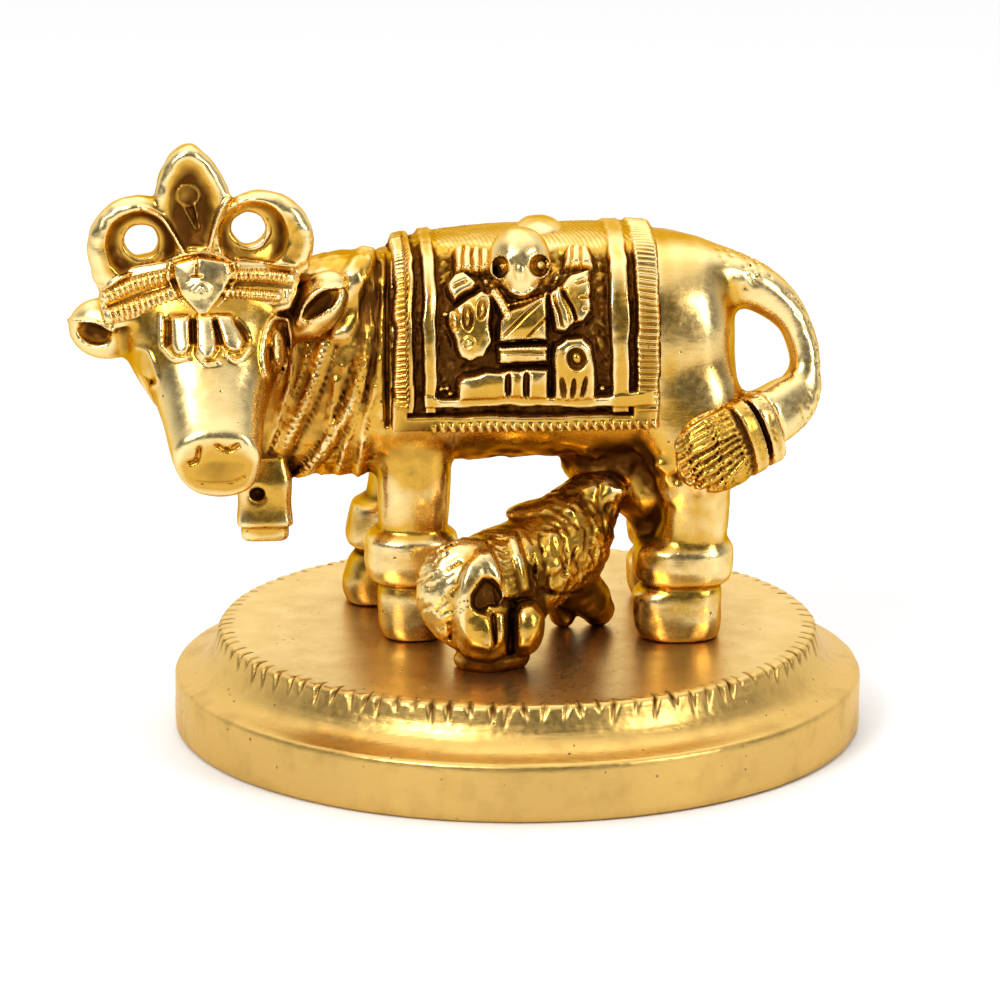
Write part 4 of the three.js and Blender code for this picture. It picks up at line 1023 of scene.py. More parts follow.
def make_calf():
    """The calf under the belly, with its curled rump to the viewer."""
    calf = Field("calf", (-13.6, -25.6, -1.4), (14.5, -1.5, 19))
    add_sweep(calf, [
        [-8.6, -20.2, 7, 2.6, 3.4], [-7.8, -19.2, 7, 4.2, 5.2], [-5.6, -17.4, 6.8, 5, 6.2],
        [-2.6, -14.6, 7.6, 5, 6], [0.4, -12, 8.6, 4.7, 5.4], [3.2, -9.4, 9.8, 4.5, 5.2],
        [5.6, -7.2, 11.6, 3.8, 4.6], [8, -5.6, 13.8, 2.7, 3.4],
        [10.2, -4.6, 15.6, 1.6, 2]], up=(0, 0, 1))
    add_egg(calf, (-7.2, -18.2, 7.6), (4.9, 4, 5.8), 1.2)
    add_egg(calf, (5.6, -7.6, 10), (4, 3.4, 4.4), 1)
    # feet in front, the lump they stand on, and the forelegs
    add_egg(calf, (-4.8, -20.4, 3.6), (3.4, 2.4, 3.2), 0.8)
    add_egg(calf, (-0.6, -19.8, 3.9), (2.1, 2.4, 3), 0.3)
    add_egg(calf, (-4.4, -18, 0), (3.7, 3, 1.7), 0.4)
    add_rod(calf, (4.4, -8, 8), (8.7, -2.6, 1), 2.8, 1.9, soft=1.2)
    add_rod(calf, (3.8, -7, 5.2), (7.6, -4, 2.8), 2, 2, soft=1.2)
    add_rod(calf, (-2.1, -18.4, 4.6), (-1.8, -18.2, 0.6), 1.9, soft=0.5)
    add_rod(calf, (3, -5.4, 7.6), (4.8, -3, 0.6), 1.6, 1.5, soft=0.6)
    # plate on the shoulders, and the head under the udder
    add_egg(calf, (0.9, -9.4, 14.1), (2.9, 2.6, 0.9), 0.3, lean=-8)
    add_egg(calf, (3.4, -8.4, 13.6), (3.4, 3, 1.7), 0.8, lean=-12)
    add_egg(calf, (8, -5.8, 15.2), (4, 2.6, 2), 0.8, lean=-6)
    s = Sheet((-14, -4), (14, 20), 0.06)
    # the curled hind leg: a smooth C round a hollow
    s.slab([(-3.5, 10.6), (-5, 10.2), (-6.3, 8.9), (-7, 7), (-7.5, 4.7), (-7.6, 2.6), (-7, 0.8),
            (-6, -0.4), (-3.8, -1), (-3.3, -0.2), (-3.5, 1.9), (-3.7, 3.1), (-5, 3.6), (-5.5, 4.3),
            (-5.6, 5.3), (-4.7, 6.7), (-3.8, 7.3), (-2.6, 6.3), (-2.4, 7.7), (-3, 9.4)], 0.8, 0.9, 0.35)
    s.slab([(-4.4, 7.1), (-3.3, 6.5), (-2.5, 5.3), (-3.3, 4.3), (-5, 3.8), (-5.6, 4.3), (-5.5, 5.3)],
           -1.4, 0.8, 0)
    s.slab([(-3.3, 3.5), (-2.2, 3.4), (-2, 1.8), (-2.3, 0), (-3.1, -0.5)], 0.6, 0.7, 0.5)
    s.slab([(-1, 3.4), (-0.4, 4.2), (1, 4.5), (2, 3), (1.7, 0.8), (0.6, -0.7), (-0.9, -0.8)],
           0.7, 0.9, 0.6)
    s.ridge([(-3.45, 3.3), (-3.2, -0.2)], 0.45, -0.4)
    s.bend([(-1.3, 4.3), (-1.45, 1.8), (-1.6, -0.8)], 1.3, -0.8)
    s.bend([(-3.5, 4.3), (-1.6, 4.6), (0.6, 5.2), (1.6, 5.6)], 1.1, -0.5)
    s.ridge([(-8.2, 2.4), (-8.1, 0.6)], 0.5, -0.6)
    # straps, and the edge of the smooth part
    s.bend([(-3.9, 11.2), (-2.9, 9), (-2.3, 6.9), (-2.1, 4.9)], 0.6, -0.4)
    for k in range(8):
        s.bend([(-3.1 + 0.14 * k, 11 - 0.75 * k), (-2.4 + 0.14 * k, 10.7 - 0.75 * k),
                (-1.8 + 0.13 * k, 11 - 0.75 * k)], 0.4, 0.25, 8)
    s.bend([(-2.1, 11.6), (-0.95, 8.4), (-0.5, 5.6)], 0.5, -0.35)
    s.slab([(-1.9, 12), (-0.9, 12.2), (0.1, 8.9), (0.6, 5.9), (-0.2, 5.7), (-0.8, 8.4)], 0.35, 0.6)
    s.bend([(-0.7, 12.3), (0.3, 8.9), (0.8, 5.9)], 0.5, -0.35)
    # fur
    for k in range(95):
        x, z = rng.uniform(-11.8, -7), rng.uniform(0.5, 12.6)
        drop = rng.uniform(0.3, 0.9)
        s.bend([(x + 0.8, z + drop * 0.7), (x, z), (x - 0.7, z - drop * 0.8)], 0.45,
               rng.uniform(-0.32, 0.22), 10)
    for k in range(34):
        x, z = rng.uniform(0.6, 8), rng.uniform(6.2, 13)
        bend = rng.uniform(-0.5, 0.5)
        s.bend([(x, z + 1), (x + bend, z), (x + 0.2, z - 1.1)], 0.45, rng.uniform(-0.45, 0.2), 10)
    s.bend([(1.6, 6), (4, 5.4), (8.4, 5.6)], 0.6, -0.5)

    def fur(x, y, z):
        rough = ramp((x - 1.2) / 1.5) * ramp((z - 4.5) / 2)
        return (s.seen_at(x, y, z) * ramp((-y - x * 0.9 - 5.5) / 2 + 1.5)
                + rough * (0.2 * grain(x, y, z, 0.6, 51) + 0.25 * grain(x, y, z, 1.3, 53))
                + 0.06 * grain(x, y, z, 0.8, 52))
    calf.push(*calf.whole, fur, 1.2)

    # darker over the calf's hind half, foreleg and smooth side and paler on its fur lobe, with a
    # painted shadow where its near side meets the plinth
    def patina_and_painted_light(x, y, z):
        leg = ramp((x - 3) / 2) * ramp((6 - z) / 2)
        smooth = within(x, -7.6, 2.4, 0.8, 1) * ramp(11 - z)
        lobe = ramp(-6.6 - x)
        return (0.13 * ramp((x + 2) / 4) + 0.18 * leg + 0.21 * smooth - 0.08 * lobe
                + 0.3 * ramp((0.6 - z) / 0.8) * ramp(-14 - y))
    return make_piece(calf, patina_and_painted_light=patina_and_painted_light)


# ---------------------------------------------------------------- saddle cloth
HEM = 23.5
CLOTH_LIFT = 0.35
CLOTH_ENDS = (-15.1, 15.6)
# Heights at which the near and the far sheet end on the back
NEAR_TOP = 41.5
FAR_TOP = 42.2


def saddle_relief():
    """The carved figure on the cloth, drawn as the camera sees it."""
    s = Sheet((-12, 22), (17, 48), 0.05)
    # torso, sashes and belt
    s.slab([(-2.9, 33.7), (-2.6, 35.9), (-1.9, 36.5), (2.1, 38.4), (2.3, 34.1), (2.4, 33.6)], 1.2)
    s.ridge([(-2.3, 34.4), (1.5, 37.6)], 0.45, -0.4)
    s.ridge([(0, 34), (2.2, 35.8)], 0.45, -0.4)
    s.slab([(-4.1, 38.3), (-3.1, 39), (-1.3, 36.2), (-2, 35.5)], 1.1, 0.5, 0)
    s.ribs([(-3.5, 38.2), (-1.9, 36.1)], 0.8, 0.5, 0.4)
    s.ridge([(-1.7, 37.1), (2.2, 38.6)], 0.8, 0.3)
    s.ribs([(-1.7, 37.1), (2.2, 38.6)], 0.5, 0.55, 0.35)
    s.slab([(-3.1, 31.3), (-3, 33.1), (2.4, 33.1), (2.4, 31.4)], 1.1)
    s.ribs([(-2.9, 32.9), (2.3, 32.9)], 0.45, 0.42, 0.35)
    s.ridge([(-2.9, 32.45), (2.3, 32.45)], 0.3, -0.4)
    s.ridge([(-3, 33.4), (2.4, 33.4)], 0.5, -0.5)
    # skirt, with a ragged top edge
    s.slab([(-7.2, 27.3), (-7.3, 29.7), (-6.8, 30.1), (-5.6, 30.2), (-4.4, 30.5), (-3, 30.5),
            (-1.6, 30.7), (-0.9, 30.5), (0.6, 30.7), (2.4, 30.7), (2.2, 27.3)], 1.15, 0.6, 0.35)
    for x in (-1.95, -0.1):
        s.ridge([(x - 0.45, 30), (x - 0.4, 27.8)], 0.3, 0.25)
        s.ridge([(x + 0.45, 30), (x + 0.4, 27.8)], 0.3, 0.25)
        s.dome((x, 28.9), (0.42, 1.5), -0.8)
    # arched panel with a socket and leaf slots
    s.slab([(2.9, 27.2), (2.9, 31.4), (3.2, 33.2), (4.3, 33.9), (6, 33.9), (7.1, 32.9), (7.4, 30.5),
            (7.6, 27.2)], 1.15)
    s.ring((5.3, 31.8), 1.25, 0.3, 0.15)
    s.dome((5.3, 31.8), (1.1, 1.1), -0.8)
    s.dome((5.3, 31.8), (0.55, 0.55), 0.75)
    for x, lean in ((3.8, 8), (4.9, 0), (6.2, -8)):
        s.dome((x, 28.8), (0.36, 1.25), -0.55, lean)
    # arms
    s.slab([(2.4, 38.4), (3.6, 39), (4.3, 37.6), (5.3, 35.3), (4.3, 34.5), (3.2, 34.7),
            (2.7, 36.2)], 1.25)
    s.slab([(3.7, 38.9), (4.9, 39.9), (6.8, 40.5), (7.1, 38.8), (7, 36.6), (6, 35.2),
            (5.2, 35.2)], 1.1)
    for line in ([(2.9, 38), (3.9, 35.1)], [(4.1, 38.3), (5.2, 35.5)]):
        s.ridge(line, 0.5, -0.6)
    s.ridge([(3.7, 38.5), (4.7, 35.2)], 0.35, -0.3)
    for line in ([(5.6, 39), (7, 39.4)], [(5.8, 37.8), (7.1, 38)], [(6, 36.6), (7, 36.8)]):
        s.ridge(line, 0.5, -0.4)
    s.slab([(-8.3, 36.6), (-6.4, 37.7), (-4.7, 38.5), (-3.8, 38.1), (-3.7, 35.5), (-3.6, 33.7),
            (-4.2, 32.2), (-6, 31.6), (-7, 32), (-7.4, 33.8), (-8.1, 35.5)], 1.15)
    for (x, z), tall, turn in (((-7.5, 35.8), 1.1, 10), ((-6.2, 36), 1.25, 4), ((-4.75, 36.8), 1, -6)):
        s.dome((x, z), (0.6, tall), -0.6, turn)
        s.dome((x, z), (0.28, 0.65 * tall), 0.55, turn)
    s.ring((-6.1, 33.6), 0.6, 0.3, 0.3)
    s.dome((-6.1, 33.6), (0.35, 0.35), 0.35)
    s.slab([(-3.8, 35.6), (-5.3, 34), (-5.7, 32.2), (-4.5, 31.9), (-3.6, 33.7)], 1.45, 0.4, 0)
    s.slab([(-7.6, 40.1), (-6.6, 40.3), (-5, 39.2), (-5.7, 38.5), (-7.6, 37.7), (-8.3, 38.6),
            (-8.4, 39.2)], 1.1)
    s.ridge([(-7.5, 38.8), (-6.3, 39.2)], 0.6, -0.45)
    # plumes
    s.slab([(4.6, 43), (6.8, 42.9), (7.1, 40.9), (3.9, 40.9)], 0.95)
    for line in ([(5.1, 42.9), (4.7, 41)], [(6, 42.9), (5.8, 41)]):
        s.ridge(line, 0.45, -0.45)
    s.slab([(-7.6, 42.8), (-6.6, 43.2), (-3.8, 42.7), (-3.8, 40.9), (-5.1, 40.5), (-7.4, 40.6)], 0.95)
    for x in (-6.6, -5.6, -4.7):
        s.ridge([(x, 43), (x - 0.1, 40.7)], 0.5, -0.55)
    # beads of metal in the corners
    for x, z in ((-9, 28.6), (-8.3, 28.7), (-7.9, 28.1), (8.2, 28.3), (-8.7, 36.5), (-4.2, 39.6),
                 (3.2, 39.8)):
        s.dome((x, z), (0.4, 0.3), 0.5)
    return s


def cloth_grid(xs, first, last, count):
    """Points and outward directions on the trunk, evenly spaced round it between two heights.

    Heights are on the near side when they are below zero, and on the far side above it.
    """
    turns = np.radians(np.linspace(-80, 260, 1400))
    c, s = np.cos(turns), np.sin(turns)
    reach = (np.abs(c) ** TRUNK_POWER + np.abs(s) ** TRUNK_POWER) ** (-1 / TRUNK_POWER)
    points = np.zeros((len(xs), count, 3))
    out = np.zeros_like(points)
    for i, x in enumerate(xs):
        my, mz, half, tall = (float(v) for v in trunk_section(np.array(x)))
        y, z = my - half * reach * c, mz + tall * reach * s
        length = np.concatenate([[0], np.cumsum(np.hypot(np.diff(y), np.diff(z)))])
        rising = c > 0
        ends = []
        for height in (first, last):
            side = rising if height < 0 else ~rising
            ends.append(length[side][np.argmin(np.abs(z[side] - abs(height)))])
        at = np.linspace(ends[0], ends[1], count)
        py, pz = np.interp(at, length, y), np.interp(at, length, z)
        ty, tz = np.gradient(py), np.gradient(pz)
        size = np.hypot(ty, tz)
        points[i] = np.stack([np.full(count, x), py, pz], 1)
        out[i] = np.stack([np.zeros(count), -tz / size, ty / size], 1)
    return points, out


def grid_quads(rows, columns, closed=False):
    """Quads between the points of a grid. A closed one joins its last row to its first."""
    i, j = np.meshgrid(np.arange(rows if closed else rows - 1), np.arange(columns - 1), indexing="ij")
    a, b = (i * columns + j).ravel(), ((i + 1) % rows * columns + j).ravel()
    return np.stack([a, b, b + 1, a + 1], 1)


def cloth_heights(points, arc, sheet, near):
    """Height over the trunk at each point of the cloth. The near sheet is drawn as the camera sees
    it, and the far one in x and z."""
    x, y, z = (points[..., k] for k in range(3))
    x, z = (x + 0.2 * grain(x, y, z, 2.3, 64) + 0.09 * grain(x, y, z, 1.1, 69),
            z + 0.22 * grain(x, y, z, 2.6, 65) + 0.09 * grain(x, y, z, 1.2, 60))

    def band(low, high, edge=0.35):
        return within(x, low - edge / 2, high + edge / 2, edge)
    above = ramp((z - 25.6) / 0.3)
    # ribbed bands, the plain strip beside the front one, and smooth bands
    h = np.zeros(x.shape)
    worn = 0.75 + 0.35 * grain(x, y, z, 3.1, 66)
    for low, high, pitch in ((-13.9, -12.4, 0.79), (12.0, 14.4, 0.66)):
        ribs = np.abs(np.cos(np.pi * (arc + 0.1 * grain(x, y, z, 1.7, 67)) / pitch)) ** 1.3
        h = np.maximum(h, above * band(low, high) * (0.75 + 0.45 * worn * ribs))
    h = np.maximum(h, above * band(-12.5, -11.85))
    for low, high in ((-10.8, -9.5), (9.3, 11.2)):
        rim = np.abs(x - (low + high) / 2) / (high - low)
        h = np.maximum(h, above * band(low, high) * (0.95 + 0.5 * rim ** 2))
    # border along the foot of the cloth, thicker at its corners
    foot = 26.35 + 0.25 * ramp((6 - np.abs(x)) / 5)
    head = foot + 0.95 + 0.5 * ramp((np.abs(x) - 8.6) / 1.6)
    border = ramp((z - foot) / 0.3 + 0.5) * ramp((head - z) / 0.4 + 0.5)
    h = np.maximum(h, 1.15 * border * band(-10.9, 14))
    # hem, with slanted ribs along its lower edge
    hem = ramp((25.35 - z) / 0.35 + 0.5) * band(-14.2, 14.4)
    ribs = np.abs(np.cos(np.pi * (x + 0.4 * (z - 24)) / 0.95)) ** 1.2
    ribs = 0.45 * ribs * ramp((25 - z) / 0.5) * ramp((x + 10.6) / 1.2)
    h = np.maximum(h, hem * (0.95 + ribs))
    corner = ramp((27.4 - z) / 0.6) * (band(-14.2, -12.4) + band(11.6, 14.4))
    h = np.maximum(h, 0.95 * corner)
    flat = [v.ravel() for v in (x, y, z)]
    drawn = sheet.seen_at(*flat) if near else sheet.at(flat[0], flat[2])
    # the bands lie lower over the back
    h = np.maximum(h, 0) * (1 - 0.5 * ramp((z - 39.5) / 3))
    h = h + drawn.reshape(x.shape) * (1 - border)
    # rough, sunken ground between the raised parts, calmer over the back
    ground = ramp((0.45 - h) / 0.4)
    calm = ramp((z - 41) / 1.2)
    pitted = 0.22 * grain(x, y, z, 0.5, 61) + 0.2 * grain(x, y, z, 0.95, 62) - 0.34
    lined = 0.25 + 0.05 * np.cos(2 * np.pi * (x + 0.3 * y) / 0.5)
    high = (CLOTH_LIFT + h + ground * (pitted * (1 - calm) + lined * calm)
            + 0.025 * grain(x, y, z, 0.8, 63) + 0.03 * grain(x, y, z, 2, 68))
    return high, ground * (1 - calm)


def make_cloth(name, first, last, sheet):
    """One sheet of the saddle cloth, between two heights as in cloth_grid."""
    step = STEPS[name] * COARSE
    xs = np.arange(*CLOTH_ENDS, step)
    probe, _ = cloth_grid(np.array([0.0]), first, last, 60)
    length = np.linalg.norm(np.diff(probe[0], axis=0), axis=1).sum()
    count = int(length / step)
    points, out = cloth_grid(xs, first, last, count)
    arc = np.linspace(0, length, count)[None, :]
    h, ground = cloth_heights(points, arc, sheet, first < 0)
    hollow = 0.5 + 0.45 * (blurred(h, max(1, int(0.35 / step))) - h) \
        + 0.35 * (blurred(h, max(1, int(1.1 / step))) - h)
    # darker at the front and low down the sides, and paler over the back
    x, _, z = (points[..., k] for k in range(3))
    hollow = hollow + 0.07 * ramp(-8.6 - x) + 0.06 * ground \
        + 0.12 * ramp((40 - z) / 3) - 0.1 * ramp((z - 41) / 1.2)
    # the edges run down into the trunk
    ends = within(x, -14.6, 15, 0.4)
    hem = ramp(arc / 0.5) if first < 0 else 1.0
    if 0 < last < 40:
        hem = hem * ramp((length - arc) / 0.5)
    share = ends * hem
    h = h * share - 0.9 * (1 - share)
    cloth = (points + out * h[..., None]).reshape(-1, 3)
    obj = make_mesh(name, cloth, grid_quads(len(xs), count), SOLE)
    set_value(obj, "hollow", np.clip(hollow, 0, 1).ravel())
    return obj


def make_rider():
    """The carved figure's head, which stands up over the back, and the bump behind it."""
    rider = Field("cloth_rider", (-6, -13.5, 35), (8, 7.5, 47))
    add_egg(rider, (-0.45, -8.8, 41.6), (3.35, 3.7, 3.6), 0.2, pitch=-20)
    add_egg(rider, (-0.35, -9.8, 39.6), (1.6, 2.6, 2), 1.2)
    add_egg(rider, (2.4, 1, 42.8), (2.7, 4.2, 1.7), 0.4)
    s = Sheet((-6, 35), (7, 48), 0.05)
    for x, z, a, b, pupil in ((-2.7, 41.5, 0.85, 1.3, 0.4), (1.45, 41.6, 1.05, 1.25, 0.55)):
        s.ring((x, z), (a + b) / 2 + 0.1, 0.45, 0.15)
        s.dome((x, z), (a, b), -0.85)
        s.dome((x + 0.2, z + 0.05), (pupil, pupil), 0.8)
    s.dome((-0.6, 40.8), (0.5, 0.9), 0.2)
    s.bend([(-1.7, 38.9), (-0.4, 38.4), (1.2, 39.3)], 0.6, 0.3)
    rider.push(*rider.whole,
               lambda x, y, z: s.seen_at(x, y, z) * ramp((-y - 4) / 2)
               + 0.05 * grain(x, y, z, 0.9, 71), 1.1)
    return make_piece(rider, hollow_radius=0.5)


def lotus():
    """Heights of the plain lotus on the far side, drawn in x and z."""
    s = Sheet((-8, 26), (8, 42))
    for k in range(6):
        turn = np.radians(60 * k + 30)
        s.dome((3 * np.cos(turn), 33.5 + 3 * np.sin(turn)), (2.3, 1.4), 1, 60 * k + 30)
    s.dome((0, 33.5), (1.5, 1.5), 1)
    return s


# ---------------------------------------------------------------- plinth
PLINTH_TURNS = 1150
NOTCH_WIDTHS = (0.45, 0.7)
NOTCH_DEPTHS = (0.4, 0.8)
NOTCH_HEIGHTS = (0.8, 2.6)
NOTCH_SLANTS = (-0.3, 0.3)
NOTCH_SPACING = (1.5, 2.5)


def make_plinth():
    """A turned rim, cove and step, with filed notches round the step's top edge."""
    rim = PLINTH_RIM
    profile = [(0.0, 0.0), (rim - 0.35, 0.0), (rim, 0.35), (rim, 5.9), (rim - 0.15, 6.2),
               (rim - 0.5, 6.35), (36.8, 6.5), (35.8, 6.75), (35, 7.15), (34.4, 7.7), (33.9, 8.4),
               (33.5, 9.3), (33.25, 10.2), (33.1, 10.8), (32.8, 11.1), (32.2, PLINTH_TOP),
               (30.4, PLINTH_TOP), (0.0, PLINTH_TOP)]
    r, z = [], []
    for (r0, z0), (r1, z1) in zip(profile, profile[1:]):
        spacing = 0.24 if r0 > 30 and z1 > 8 else 0.6
        pieces = max(1, int(np.hypot(r1 - r0, z1 - z0) / (spacing * COARSE)))
        share = np.arange(pieces) / pieces
        if r0 == 0 or r1 == 0:
            share = share[::10] if len(share) > 10 else share
        r += list(r0 + (r1 - r0) * share)
        z += list(z0 + (z1 - z0) * share)
    r, z = np.array(r + [0.0]), np.array(z + [PLINTH_TOP])
    turns = np.linspace(0, 2 * np.pi, int(PLINTH_TURNS / COARSE), endpoint=False)
    radius = np.repeat(r[None, :], len(turns), 0)
    height = np.repeat(z[None, :], len(turns), 0)
    # filed notches of uneven width, depth and slant
    depth = np.zeros_like(radius)
    turn = 0.0
    while turn < 2 * np.pi - 0.05:
        width, deep = rng.uniform(*NOTCH_WIDTHS), rng.uniform(*NOTCH_DEPTHS)
        low = PLINTH_TOP - rng.uniform(*NOTCH_HEIGHTS)
        off = (turns[:, None] - turn + np.pi) % (2 * np.pi) - np.pi
        off = off * STEP_RADIUS - rng.uniform(*NOTCH_SLANTS) * (z[None, :] - 10.5)
        run = np.clip((z[None, :] - low) / (PLINTH_TOP - low), 0, 1)
        wedge = np.clip(1 - np.abs(off) / (width * (0.35 + 0.65 * run)), 0, 1)
        depth = np.maximum(depth, deep * run * wedge)
        turn += rng.uniform(*NOTCH_SPACING) / STEP_RADIUS
    edge = ramp((radius - 31.4) / 0.8)
    radius = radius - depth * edge
    x, y = radius * np.cos(turns)[:, None], radius * np.sin(turns)[:, None]
    wave = 0.05 * grain(x, y, height, 2.5, 81) + 0.02 * grain(x, y, height, 0.7, 82)
    shrink = 1 - wave * (r[None, :] > 5) / np.maximum(radius, 5)
    points = np.stack([x * shrink, y * shrink, height], 2).reshape(-1, 3)
    obj = make_mesh("plinth", points, grid_quads(len(turns), len(r), closed=True))
    worn = ramp((z - 10.8) / 0.4)[None, :]
    hollow = 0.56 + 0.45 * depth * edge - 0.14 * worn
    set_value(obj, "hollow", hollow.ravel())
    return obj


# ---------------------------------------------------------------- brass
class Nodes:
    """Shorthand for building the nodes of a material or a world."""

    def __init__(self, owner):
        self.owner = owner
        owner.use_nodes = True
        self.tree = owner.node_tree
        self.tree.nodes.clear()

    def add(self, kind, inputs=(), **settings):
        node = self.tree.nodes.new(kind)
        for key, value in settings.items():
            setattr(node, key, value)
        for key, value in dict(inputs).items():
            socket = node.inputs[key]
            if isinstance(value, bpy.types.NodeSocket):
                self.tree.links.new(value, socket)
            else:
                socket.default_value = value
        return node

    def span(self, value, low, high, to_low=0.0, to_high=1.0, **settings):
        return self.add("ShaderNodeMapRange", {
            "Value": value, "From Min": low, "From Max": high, "To Min": to_low, "To Max": to_high},
            **settings).outputs["Result"]

    def math(self, how, a, b):
        return self.add("ShaderNodeMath", {0: a, 1: b}, operation=how).outputs[0]

    def noise(self, place, scale, detail=3.0, rough=0.5):
        return self.add("ShaderNodeTexNoise", {"Vector": place, "Scale": scale, "Detail": detail,
                                               "Roughness": rough}).outputs["Fac"]

    def mix(self, share, a, b):
        return self.add("ShaderNodeMix", {0: share, 6: a, 7: b}, data_type="RGBA").outputs[2]

    def finish(self, shader, output="ShaderNodeOutputMaterial"):
        self.add(output, {"Surface": shader.outputs[0]})
        return self.owner


# Colours of rubbed brass with a painted sheen, of painted amber shade between crowded forms,
# of recesses with their patina and painted shade, and of pits
RUBBED_SHEEN = (0.88, 0.67, 0.3, 1)
SHADE_AMBER = (0.34, 0.13, 0.012, 1)
DARK = (0.1, 0.035, 0.005, 1)
PIT = (0.05, 0.025, 0.01, 1)
# Spans of the hollow and crowd values over which they come in
DARK_SPAN = (0.56, 0.74)
RUBBED_SHEEN_SPAN = (0.48, 0.34)
SHADE_AMBER_SPAN = (0.45, 0.68)


def brass(name, gloss, tint, rim, painted_shade, brushed):
    """Polished brass: pale where rubbed and with a painted sheen, with patina and painted shade in
    its recesses, and painted amber shade between crowded forms.
    """
    n = Nodes(bpy.data.materials.new(name))
    place = n.add("ShaderNodeTexCoord").outputs["Object"]
    hollow = n.add("ShaderNodeAttribute", attribute_name="hollow").outputs["Fac"]
    crowd = n.add("ShaderNodeAttribute", attribute_name="crowd").outputs["Fac"]
    blotch = n.noise(place, 260.0)
    fine = n.noise(place, 1500.0, 4.0, 0.6)
    shifted = n.math("ADD", hollow, n.span(blotch, 0.3, 0.7, -0.03, 0.03))
    dark = n.span(shifted, *DARK_SPAN)
    # painted amber shade where solids crowd together
    shade_share = n.span(n.math("ADD", crowd, n.span(blotch, 0.3, 0.7, -0.04, 0.04)), *SHADE_AMBER_SPAN)
    # pale rubbed brass with a painted sheen where the surface stands out
    base = n.mix(n.span(shifted, *RUBBED_SHEEN_SPAN), tint, RUBBED_SHEEN)
    base = n.mix(n.math("MULTIPLY", shade_share, painted_shade), base, SHADE_AMBER)
    base = n.mix(dark, base, DARK)
    pits = n.add("ShaderNodeTexVoronoi", {"Vector": place, "Scale": 700.0}).outputs["Distance"]
    pit = n.math("MULTIPLY", n.span(pits, 0.13, 0.07), n.span(n.noise(place, 330.0), 0.52, 0.6))
    base = n.mix(n.math("MULTIPLY", pit, 0.85), base, PIT)
    rough = n.math("ADD", n.span(fine, 0.3, 0.7, gloss, gloss + 0.12), n.math("MULTIPLY", dark, 0.25))
    stretched = n.add("ShaderNodeMapping", {"Vector": place, "Scale": (0.12, 1.0, 1.0)}).outputs[0]
    scratches = n.noise(stretched, 2600.0, 2.0)
    bumps = n.math("ADD", n.math("MULTIPLY", scratches, 0.25 + brushed),
                   n.math("MULTIPLY", n.noise(place, 900.0, 3.0, 0.6), 0.5))
    bumps = n.math("SUBTRACT", bumps, n.math("MULTIPLY", pit, 1.5))
    bump = n.add("ShaderNodeBump", {"Height": bumps, "Strength": 0.35, "Distance": 0.0001})
    shader = n.add("ShaderNodeBsdfPrincipled", {
        "Base Color": base, "Metallic": 1.0, "Roughness": rough, "Specular Tint": rim,
        "Normal": bump.outputs["Normal"]})
    return n.finish(shader)


def plain(name, colour, roughness):
    n = Nodes(bpy.data.materials.new(name))
    shader = n.add("ShaderNodeBsdfPrincipled", {"Base Color": colour, "Roughness": roughness})
    return n.finish(shader)


# ---------------------------------------------------------------- the scene
LIGHT_AIM = (0, 0, 0.03)
# Soft boxes: place, size and power
LIGHTS = {"key": ((-0.38, -0.5, 0.5), (0.28, 0.28), 4),
          "fill": ((0.5, -0.42, 0.3), (0.15, 0.35), 1.8)}
# The tent's brightness along Y and Z: from which direction to which, and from what to what
TENT_SPANS = {"Y": (-0.4, 0.8, 0.1, 1.2), "Z": (0.55, 0.95, 0.0, 1.3)}
FLOOR_HALF = 3000
FLOOR_DROP = 0.05
FLOOR_COLOUR = (0.79, 0.79, 0.79, 1)


def add_light(name, place, size, power):
    data = bpy.data.lights.new(name, "AREA")
    data.shape = "RECTANGLE"
    data.size, data.size_y = size
    data.energy = power
    light = bpy.data.objects.new(name, data)
    light.location = place
    light.rotation_euler = (Vector(LIGHT_AIM) - Vector(place)).to_track_quat("-Z", "Y").to_euler()
    bpy.context.scene.collection.objects.link(light)


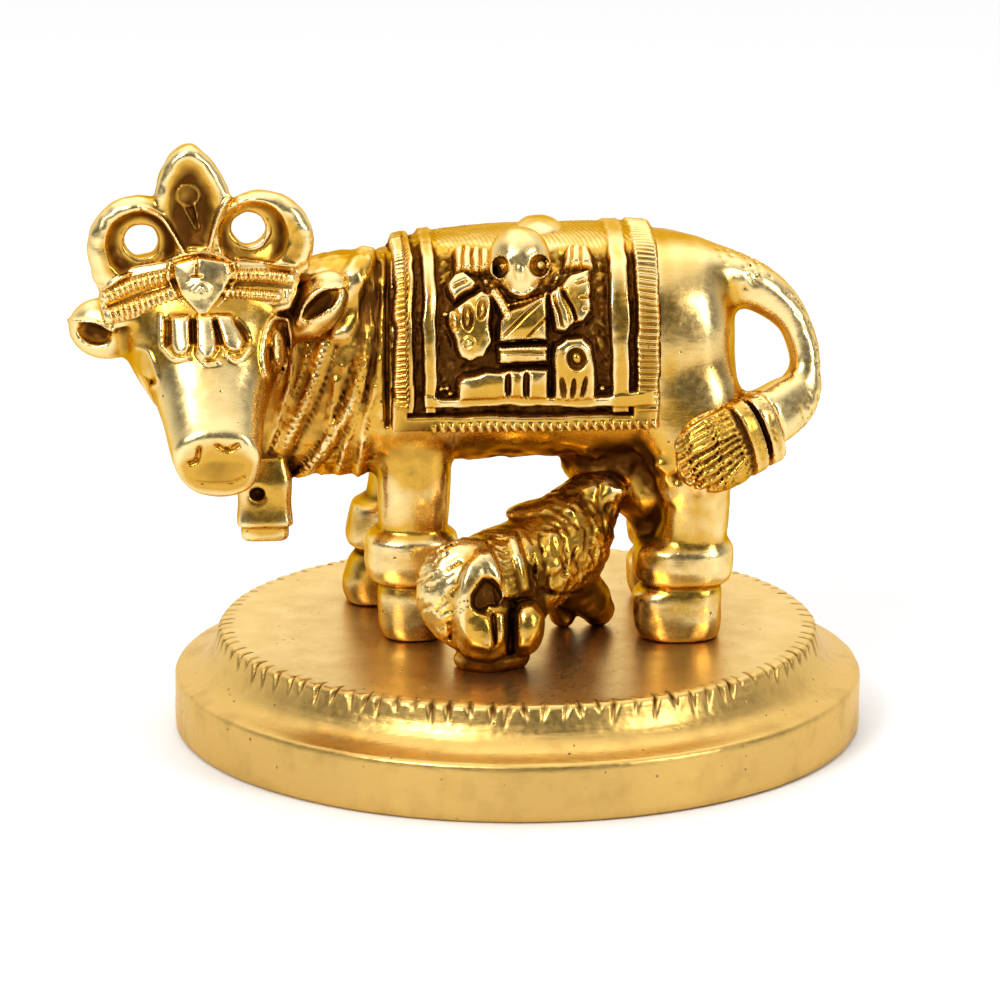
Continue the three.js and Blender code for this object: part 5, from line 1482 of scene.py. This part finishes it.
def light_tent():
    """A white tent: brightest overhead, bright behind the statue and dimmer on the viewer's side."""
    scene = bpy.context.scene
    scene.view_settings.view_transform = "Standard"
    scene.world = bpy.data.worlds.new("tent")
    n = Nodes(scene.world)
    place = n.add("ShaderNodeTexCoord").outputs["Generated"]
    split = n.add("ShaderNodeSeparateXYZ", {0: place}).outputs
    back, top = (n.span(split[axis], *spans, interpolation_type="SMOOTHSTEP")
                 for axis, spans in TENT_SPANS.items())
    tent = {"Color": (1, 1, 1, 1), "Strength": n.math("ADD", back, top)}
    n.finish(n.add("ShaderNodeBackground", tent), "ShaderNodeOutputWorld")


def build_scene():
    cast = brass("cast_brass", gloss=0.2, tint=(0.62, 0.345, 0.05, 1), rim=(0.75, 0.48, 0.12, 1),
                 painted_shade=0.85, brushed=0.0)
    filed = brass("filed_brass", gloss=0.27, tint=(0.66, 0.42, 0.12, 1), rim=(1, 0.9, 0.68, 1),
                  painted_shade=0.3, brushed=0.5)
    pieces = [make_head(), make_brow(), make_crown(), make_front(), make_rear(), make_tuft(),
              make_calf(), make_rider(), make_cloth("cloth_near", -HEM, NEAR_TOP, saddle_relief()),
              make_cloth("cloth_far", FAR_TOP, HEM, lotus())]
    for piece in pieces:
        piece.data.materials.append(cast)
        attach(piece, "root")
        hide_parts(FIGURE)
    plinth = make_plinth()
    plinth.data.materials.append(filed)
    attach(plinth, "root")
    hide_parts(PLINTH)
    Crowd.show(pieces + [plinth])

    corners = np.array([[-1, -1, 0], [1, -1, 0], [1, 1, 0], [-1, 1, 0]]) * FLOOR_HALF
    floor = make_mesh("floor", corners, np.array([[0, 1, 2, 3]]), -FLOOR_DROP)
    floor.data.materials.append(plain("floor_white", FLOOR_COLOUR, 0.6))

    light_tent()
    for name, (place, size, power) in LIGHTS.items():
        add_light(name, place, size, power)

    camera = bpy.data.cameras.new("camera")
    camera.lens = CAMERA_LENS
    camera.sensor_width = CAMERA_SENSOR
    camera.clip_end = 10
    eye = bpy.data.objects.new("camera", camera)
    eye.location = Vector(CAMERA * MM)
    eye.rotation_euler = (np.radians(90 - CAMERA_DOWN), 0, np.radians(CAMERA_HEADING))
    bpy.context.scene.collection.objects.link(eye)
    bpy.context.scene.camera = eye


build_scene()
